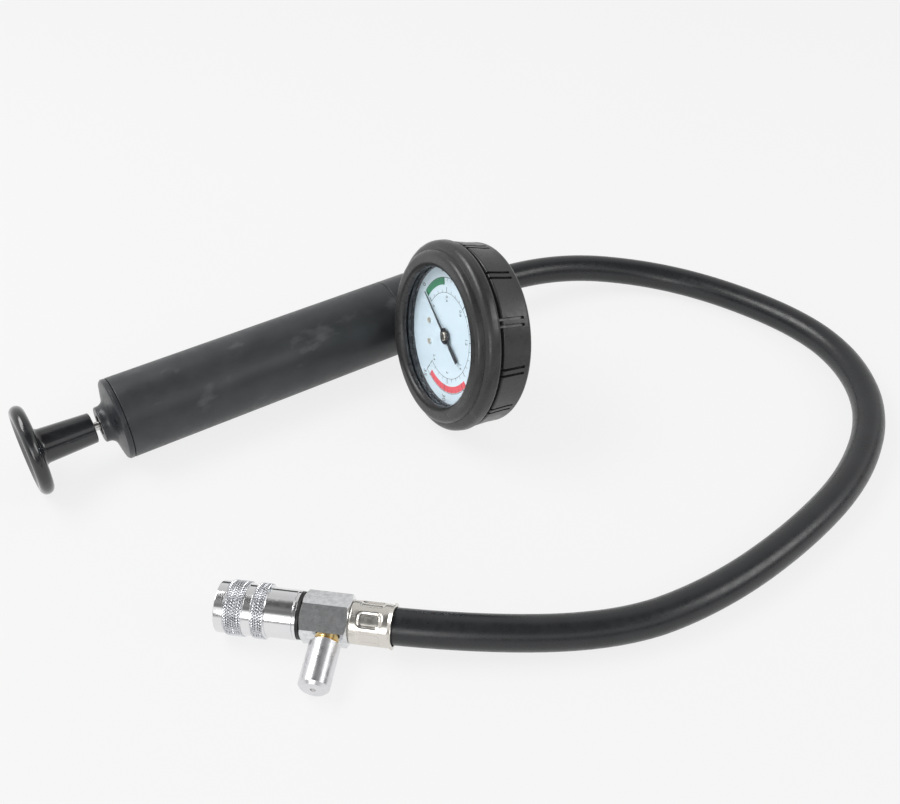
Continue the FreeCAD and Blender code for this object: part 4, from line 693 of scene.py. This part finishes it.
# %% Gauge boot
BOOT_R, BAND_FRONT_R, LIP_R, LIP_HOLE, GROOVE_AT = 50.0, 51.4, 52.6, 37.8, 8.2
BOOT_BACK, LIP_FRONT, BEZEL_FRONT = -10.2, 22.0, 18.15
BEAD_START, BEAD_R = 18.2, 47.8
RIB_WIDE, RIB_CUT, RIB_DEEP, RIB_LENGTH, RIB_START = 3.6, 1.5, 1.5, 14.2, 16.5
RIBS, CUT_OVER = 12, 4
SLOT_HALF, SLOT_LOW, SLOT_HIGH = 7.5, -56, -34


def rib_groove(angle, offset):
    """One narrow groove in the band, open into the round groove in front of it."""
    front, back = GROOVE_AT + 0.6, GROOVE_AT - RIB_LENGTH
    tool = block((back, offset - RIB_CUT / 2, BOOT_R - RIB_DEEP),
                 (front, offset + RIB_CUT / 2, BOOT_R + CUT_OVER))
    return turned_about_x(tool, angle)


boot = spun([
    (BOOT_BACK, 36.0, 1.0),
    (BOOT_BACK, BOOT_R - 0.15, 2.2),
    (-2.0, BOOT_R + 0.2),
    (GROOVE_AT - 0.3, BAND_FRONT_R, 1.0),
    (GROOVE_AT + 0.5, BOOT_R - 1.4, 0.3),
    (GROOVE_AT + 0.9, BOOT_R - 1.4, 0.3),
    (GROOVE_AT + 2.2, LIP_R, 2.2),
    (BEAD_START, LIP_R - 0.4, 4.2),
    (BEAD_START, BEAD_R, 0.3),
    (LIP_FRONT, BEAD_R - 0.8, 3.3),
    (LIP_FRONT, LIP_HOLE, 3.3),
    (BEZEL_FRONT, LIP_HOLE + 0.6),
    (BEZEL_FRONT, 43.45),
    (11.2, 43.45),
    (11.2, 42.05),
    (-9.5, 42.05),
    (-9.5, 36.0),
], steps=192)
boot = carved(boot, block((BOOT_BACK - 2, -SLOT_HALF, SLOT_LOW), (SLOT_HALF, SLOT_HALF, SLOT_HIGH)),
              solver="FAST")
grooves = bmesh.new()
for k in range(RIBS):
    for side in (-0.5, 0.5):
        joined(grooves, rib_groove(math.radians(RIB_START + 360 // RIBS * k), RIB_WIDE * side))
boot = carved(boot, grooves)
piece("rubber_boot", boot, GAUGE, boot_rubber, "root", ["gauge_boot"])

# %% [markdown]
# The bezel is a spun metal ring, painted black, that holds the lens down. Inside it the glass
# looks onto a shallow well whose dark wall has two steps. The well is a ring of its own here, so
# that the steps show between the lens and the dial.

# %% Bezel and well
bezel = spun([
    (16.6, 39.6, 0.2),
    (18.1, 39.8, 0.35),
    (18.1, 43.4, 0.6),
    (11.4, 43.4),
    (11.4, 42.1),
    (17.2, 42.1),
    (16.6, 41.2),
], steps=160)
piece("spun_bezel", bezel, GAUGE, case_black, "root", ["bezel_ring"])
well = spun([
    (12.05, 38.3),
    (13.4, 38.5, 0.15),
    (13.5, 39.3, 0.15),
    (15.2, 39.5),
    (15.2, 41.0),
    (12.05, 41.0),
], steps=160)
piece("stepped_well", well, GAUGE, case_black, "root")

# %% [markdown]
# The dial is a thin plate with a pale enamel. Its printing is real geometry a few hundredths of a
# millimetre proud: arcs and ticks from one ring of faces that is cut by angle, and numbers from
# text made into mesh. That keeps the print sharp at any distance, and it needs no image.

# %% Dial plate and its scale
DIAL_FACE, DIAL_BACK, DIAL_R, DIAL_HOLE = 12.0, 11.4, 40.4, 2.2
PRINT_HEIGHT, BAND_HEIGHT, PRINT_LIFT = 0.04, 0.02, 0.005
ZERO_AT, FULL_AT = 225.0, -45.0
ARC_DEGREES = 2


def on_dial(angle, radius, height=DIAL_FACE):
    """A point on the dial. The angle runs from three o'clock, in degrees, towards twelve."""
    turn = math.radians(angle)
    return Vector((height, radius * math.cos(turn), radius * math.sin(turn)))


def arc_band(low, high, start, end, height=PRINT_HEIGHT):
    """A thin printed band between two radii and two angles."""
    mesh = bmesh.new()
    pair = [mesh.verts.new(on_dial(start, r, DIAL_FACE + PRINT_LIFT)) for r in (low, high)]
    edge = mesh.edges.new(pair)
    sweep = math.radians(end - start)
    steps = max(2, int(abs(math.degrees(sweep)) / ARC_DEGREES))
    spin_about_x(mesh, [*pair, edge], steps, sweep, merge=False)
    return thickened(mesh, height)


def tick(angle, low, high, width):
    """A printed line along a radius."""
    mesh = block((DIAL_FACE + PRINT_LIFT, low, -width / 2),
                 (DIAL_FACE + PRINT_HEIGHT, high, width / 2))
    return turned_about_x(mesh, math.radians(angle))


def lettering(text, angle, radius, size):
    """A number on the dial, standing upright, as a thin mesh."""
    curve = bpy.data.curves.new("number", "FONT")
    curve.body = text
    curve.size = size
    curve.align_x = "CENTER"
    curve.align_y = "CENTER"
    curve.extrude = PRINT_HEIGHT / 2
    curve.resolution_u = 3
    holder = bpy.data.objects.new("number", curve)
    scene.collection.objects.link(holder)
    data = bpy.data.meshes.new_from_object(
        holder.evaluated_get(bpy.context.evaluated_depsgraph_get()))
    mesh = bmesh.new()
    mesh.from_mesh(data)
    bpy.data.meshes.remove(data)
    bpy.data.objects.remove(holder)
    upright = Matrix(((0, 0, 1), (1, 0, 0), (0, 1, 0))).to_4x4()
    bmesh.ops.transform(mesh, matrix=Matrix.Translation(
        on_dial(angle, radius, DIAL_FACE + PRINT_HEIGHT / 2)) @ upright, verts=mesh.verts)
    return mesh


dial = spun([
    (DIAL_BACK, DIAL_HOLE),
    (DIAL_FACE, DIAL_HOLE),
    (DIAL_FACE, DIAL_R),
    (DIAL_BACK, DIAL_R),
])
piece("enamelled_dial", dial, GAUGE, dial_enamel, "root", ["dial_plate"])

# %% [markdown]
# The scale has two rings of ticks: the outer one counts to 35, the inner one to 2.4. The numbers
# are plain and only show how such a dial is laid out. Green marks the start of the range and red
# its end.

# %% The dial's print
SWEEP = ZERO_AT - FULL_AT
OUTER_COUNT, OUTER_NUMBER, INNER_COUNT, INNER_NUMBER = 35, 5, 24, 4
OUTER_TEXT_R, OUTER_TEXT, INNER_TEXT_R, INNER_TEXT = 36.0, 4.6, 20.6, 3.0
BAND_LOW = 28.2
BANDS = (
    # name, outer radius, start, end, ink
    ("dial_green_band", 32.2, 227.0, 184.0, print_green),
    ("dial_red_band", 31.8, 40.0, -38.0, print_red),
)
marks = bmesh.new()
for k in range(OUTER_COUNT + 1):
    angle = ZERO_AT - SWEEP * k / OUTER_COUNT
    long = k % OUTER_NUMBER == 0
    joined(marks, tick(angle, 28.0 if long else 30.2, 32.3, 0.55 if long else 0.25))
    if long:
        joined(marks, lettering(str(k), angle, OUTER_TEXT_R, OUTER_TEXT))
joined(marks, arc_band(32.1, 32.4, ZERO_AT, FULL_AT))
for k in range(INNER_COUNT + 1):
    angle = ZERO_AT - SWEEP * k / INNER_COUNT
    long = k % INNER_NUMBER == 0
    joined(marks, tick(angle, 24.0, 27.0 if long else 25.6, 0.45 if long else 0.25))
    if long:
        joined(marks, lettering("%g" % (k / 10), angle, INNER_TEXT_R, INNER_TEXT))
joined(marks, arc_band(23.8, 24.05, ZERO_AT, FULL_AT))
piece("dial_print", marks, GAUGE, print_black, "root")
for name, band_high, start, end, ink in BANDS:
    band = arc_band(BAND_LOW, band_high, start, end, BAND_HEIGHT)
    piece(name, band, GAUGE, ink, "root")

# %% [markdown]
# The pointer is a flat black blade with a wider tail, pressed on a turned hub. It turns with its
# arbor, so it rides on the needle's body. At rest it stands at zero.

# %% Pointer
POINTER_Z, POINTER_THICK = 13.4, 0.4
BOSS_LOW, BOSS_HIGH, BOSS_R, HUB_HIGH, HUB_R = 13.35, 13.9, 4.6, 15.0, 2.6


def blade(stations):
    """A flat blade from stations (distance along the pointer, half its width there)."""
    mesh = bmesh.new()
    row = []
    for at, half in stations:
        row.append((mesh.verts.new((POINTER_Z, at, -half)), mesh.verts.new((POINTER_Z, at, half))))
    for near, far in zip(row, row[1:]):
        mesh.faces.new((near[0], far[0], far[1], near[1]))
    return thickened(mesh, POINTER_THICK)


needle = blade([(-18, 1.25), (-8, 1.25), (-6.5, 0.8), (0, 1.4), (6, 0.7), (31, 0.25)])
turned_about_x(needle, math.radians(ZERO_AT))
piece("pointer_blade", needle, GAUGE, print_black, "needle", ["pointer"])
boss = spun([
    (BOSS_LOW, 0),
    (BOSS_LOW, BOSS_R, 0.3),
    (BOSS_HIGH, BOSS_R, 0.3),
    (BOSS_HIGH, 0),
], closed=False, steps=64)
piece("pointer_boss", boss, GAUGE, case_black, "needle")
hub = spun([
    (BOSS_HIGH, 0),
    (BOSS_HIGH, HUB_R),
    (HUB_HIGH, HUB_R, 0.7),
    (HUB_HIGH, 0),
], closed=False, steps=48)
piece("pointer_hub", hub, GAUGE, hub_metal, "needle")

# %% [markdown]
# Most inner parts, the lens and the hexagonal tee are right as the model has them: turned brass,
# stamped movement plates, steel balls, rubber rings. They keep their shape and only get the finish
# that their material has on such a tool.

# %% Finishes of the parts that keep their shape
KEPT = {
    "knob_insert": brass, "pump_rod": steel, "rod_guide": nylon, "piston_plate": nylon,
    "cup_seal": seal_rubber, "cup_washer": steel, "piston_nut": steel, "head_o_ring": seal_rubber,
    "check_poppet": seal_rubber, "valve_retainer": brass,
    "hose_nipple": nickel, "gauge_case": case_black,
    "lens_gasket": seal_rubber, "gauge_lens": clear_lens, "gauge_socket": brass,
    "stem_washer": copper, "case_screws": steel, "bourdon_tube": brass, "pointer_arbor": steel,
    "sector_gear": brass, "link_bar": brass, "tube_tip": brass, "movement_back_plate": brass,
    "movement_front_plate": brass, "movement_pillars": brass, "movement_screws": steel,
    "dial_spacers": brass, "dial_screws": screw_metal, "coupler_body": chrome, "lock_balls": steel,
    "coupler_o_ring": seal_rubber, "snap_ring": steel,
    "tee_body": milled_chrome, "release_body": brass,
    "release_seal": seal_rubber, "release_pin": steel,
}
for name, material in KEPT.items():
    data = nodes[name].data
    data.materials.clear()
    data.materials.append(material)
print("kept CAD nodes:", len(KEPT))

# %% [markdown]
# Three coil springs work out of sight. A spring gets shorter when its joint moves; here each is a merged copy of
# the model's coil.

# %% Springs
SPRINGS = {"valve_spring": "check_valve_lift", "sleeve_spring": "sleeve_slide",
           "release_spring": "release_press"}
for name, joint in SPRINGS.items():
    coil = bmesh.new()
    coil.from_mesh(nodes[name].data)
    bmesh.ops.remove_doubles(coil, verts=coil.verts, dist=WELD * MM)
    made = piece("wound_" + name, coil, Matrix.Identity(4), steel, "root", [name])
    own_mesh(made)

# %% [markdown]
# The coupler's sleeve is pulled back with two fingers, so its two wide bands are knurled. The
# diamonds are real relief: a fine grid wraps the band, and each point rises by how far it lies
# from two families of crossing helical lines. Bump alone would leave the outline smooth.

# %% Knurled band
KNURL_R, KNURL_DEPTH, DIAMONDS, KNURL_STEP = 12.2, 0.5, 58, 0.25
COLUMNS_PER_DIAMOND, HELIX = 6, math.radians(30)
EDGE_EASE, EDGE_SHADE_LEVEL, FLANK = 0.4, 0.3, 1.6


def knurl_band(start, end):
    """The outer skin of a band, with a diamond knurl that fades out at both edges."""
    mesh = bmesh.new()
    length = end - start
    rows = max(4, round(length / KNURL_STEP))
    ring = [mesh.verts.new((start + length * k / rows, 0, KNURL_R)) for k in range(rows + 1)]
    edges = [mesh.edges.new(pair) for pair in zip(ring, ring[1:])]
    spin_about_x(mesh, ring + edges, DIAMONDS * COLUMNS_PER_DIAMOND)
    bmesh.ops.remove_doubles(mesh, verts=mesh.verts, dist=WELD)
    pitch = FULL_TURN / DIAMONDS
    lift = math.tan(HELIX) / KNURL_R
    relief = mesh.verts.layers.float.new("knurl_height")
    for v in mesh.verts:
        at = v.co.x - start
        turn = math.atan2(v.co.y, v.co.z)
        height = 1.0
        for way in (1, -1):
            phase = (turn + way * at * lift) / pitch
            height = min(height, abs(phase - round(phase)) * 2)
        ease = min(1.0, at / EDGE_EASE, (length - at) / EDGE_EASE)
        # The smooth band edges get a middle relief level, so they take some painted shade too.
        v[relief] = height if ease > 0.9 else EDGE_SHADE_LEVEL
        rise = KNURL_DEPTH * max(0.0, ease) * min(1.0, height * FLANK)
        v.co.y += math.sin(turn) * rise
        v.co.z += math.cos(turn) * rise
    return mesh

# %% [markdown]
# The sleeve itself is turned and polished, with a plain nose, a groove between the bands and a
# rounded edge. The knurled skins lie on it as a piece of their own, so that the chrome between
# them stays clean.

# %% Coupler sleeve
sleeve = spun([
    (0.0, 11.0, 0.3),
    (0.0, 12.0, 0.5),
    (4.2, 12.0, 0.2),
    (4.6, 11.6),
    (4.9, 12.3),
    (13.6, 12.3),
    (13.9, 11.9, 0.3),
    (17.3, 11.9, 0.3),
    (17.6, 12.3),
    (23.6, 12.3),
    (24.0, 11.9),
    (24.0, 11.0),
])
piece("turned_sleeve", sleeve, FITTING, chrome, "lock_sleeve", ["coupler_sleeve"])
knurls = joined(knurl_band(4.9, 13.6), knurl_band(17.6, 23.6))
piece("sleeve_knurl", knurls, FITTING, knurl_chrome, "lock_sleeve", sharp=25)
sleeve_low, sleeve_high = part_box("coupler_sleeve")
print("sleeve box", [round(c / MM, 2) for c in sleeve_high - sleeve_low])

# %% [markdown]
# Between the coupler and the hexagon sits a bonded washer: a steel ring with a rubber face. Only a
# thin black line of it shows, so the two layers are turned as two pieces.

# %% Bonded washer
WASHER_START, WASHER_SPLIT, WASHER_END = 37.0, 38.3, 39.7
WASHER_BORE, WASHER_R, RUBBER_R = 6.6, 11.35, 10.9
washer = spun([
    (WASHER_START, WASHER_BORE),
    (WASHER_START, WASHER_R, 0.15),
    (WASHER_SPLIT, WASHER_R, 0.15),
    (WASHER_SPLIT, WASHER_BORE),
])
piece("washer_ring", washer, FITTING, chrome, "root")
rubber_face = spun([
    (WASHER_SPLIT, WASHER_BORE),
    (WASHER_SPLIT, RUBBER_R, 0.3),
    (WASHER_END, RUBBER_R, 0.3),
    (WASHER_END, WASHER_BORE),
])
piece("washer_rubber", rubber_face, FITTING, seal_rubber, "root", ["face_seal"])

# %% [markdown]
# The ferrule is a thin nickel-plated tube that a press has squeezed on the hose. Its six crimps
# are rounded windows pressed inwards. A dense tube is spun first, and then each point sinks by how
# far it lies inside the nearest window, which gives the soft edges of pressed metal.

# %% Crimped ferrules
FERRULE_R, CRIMPS, CRIMP_DEPTH = 9.9, 6, 0.85
CRIMP_WIDE, CRIMP_LONG, CRIMP_ROUND, CRIMP_TURN = 7.8, 11.4, 2.6, math.radians(9.5)
CRIMP_MIDDLE, CRIMP_FLANK = 0.48, 1.0
FERRULE_LENGTH, FERRULE_STEP = 19.9, 0.45


def ferrule(start, length=FERRULE_LENGTH):
    """A crimped tube from start to start + length, with its flared lip at the far end."""
    middle = start + length * CRIMP_MIDDLE
    rows = [start + 0.6 + k * FERRULE_STEP for k in range(int((length - 2.2) / FERRULE_STEP))]
    outline = [(start, FERRULE_R - 1.2), (start, FERRULE_R - 0.6), (start + 0.6, FERRULE_R)]
    outline += [(x, FERRULE_R) for x in rows[1:]]
    outline += [(start + length - 1.3, FERRULE_R), (start + length - 0.5, FERRULE_R + 0.6),
                (start + length - 0.1, FERRULE_R + 0.6), (start + length, FERRULE_R + 0.3),
                (start + length, FERRULE_R - 0.9)]
    mesh = spun(outline, steps=216)
    for v in mesh.verts:
        radius = math.hypot(v.co.y, v.co.z)
        if radius < FERRULE_R - 0.3:
            continue
        turn = (math.atan2(v.co.y, v.co.z) - CRIMP_TURN) * CRIMPS / FULL_TURN
        across = abs(turn - round(turn)) * FULL_TURN * FERRULE_R / CRIMPS
        out_x = max(0.0, abs(v.co.x - middle) - CRIMP_LONG / 2 + CRIMP_ROUND)
        out_y = max(0.0, across - CRIMP_WIDE / 2 + CRIMP_ROUND)
        inside = CRIMP_ROUND - math.hypot(out_x, out_y)
        sink = CRIMP_DEPTH * min(1.0, max(0.0, inside / CRIMP_FLANK))
        v.co.y *= 1 - sink / radius
        v.co.z *= 1 - sink / radius
    return mesh


piece("crimped_ferrule", ferrule(62.05), FITTING, nickel, "root", ["end_ferrule"],
      sharp=50)
piece("crimped_pump_ferrule", ferrule(195.05), PUMP, nickel, "root", ["pump_ferrule"],
      sharp=50)

# %% [markdown]
# The release cap is a smooth satin button: a plain cylinder with a chamfered end and a small hole
# in its middle. The hand presses it in, so it rides on the button's body.

# %% Release cap
release = spun([
    (13.0, 5.6),
    (13.0, 7.2, 0.3),
    (33.6, 7.2, 0.3),
    (35.0, 5.8, 0.3),
    (35.0, 1.2),
    (33.0, 1.2),
    (33.0, 5.0),
    (14.0, 5.6),
])
piece("polished_cap", release, VALVE, satin_chrome, "release_button", ["release_cap"])

# %% [markdown]
# The hose is one smooth curve through the points of its route: out of the head's nipple, down to
# the floor, round in one wide bend, and back to the coupler. A round profile gives it its skin.

# %% Hose
HOSE_R = 8.5
ROUTE = (
    (114.54, 49.95, 22.95),
    (161.54, 49.95, 22.55),
    (217.5, 42.0, 18.5),
    (263.5, 16.0, 10.5),
    (291.5, -26.5, 8.5),
    (307.0, -83.5, 8.5),
    (301.0, -127.5, 8.5),
    (274.5, -167.5, 8.5),
    (227.5, -195.5, 8.5),
    (171.5, -209.0, 8.5),
    (111.5, -213.5, 8.5),
    (59.5, -205.0, 9.0),
    (-3.04, -168.02, 12.75),
    (-37.81, -136.38, 12.75),
)
curve = bpy.data.curves.new("rubber_hose", "CURVE")
curve.dimensions = "3D"
curve.bevel_depth = HOSE_R * MM
curve.bevel_resolution = 10
curve.resolution_u = 24
curve.use_fill_caps = True
spline = curve.splines.new("NURBS")
spline.points.add(len(ROUTE) - 1)
for point, at in zip(spline.points, ROUTE):
    point.co = tuple(c * MM for c in at) + (1.0,)
spline.order_u = 3
spline.use_endpoint_u = True
curve.materials.append(hose_rubber)
hose = bpy.data.objects.new("rubber_hose", curve)
scene.collection.objects.link(hose)
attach(hose, "root")
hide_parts("pressure_hose")
print("hose points:", len(ROUTE))

# %% One more import
import json
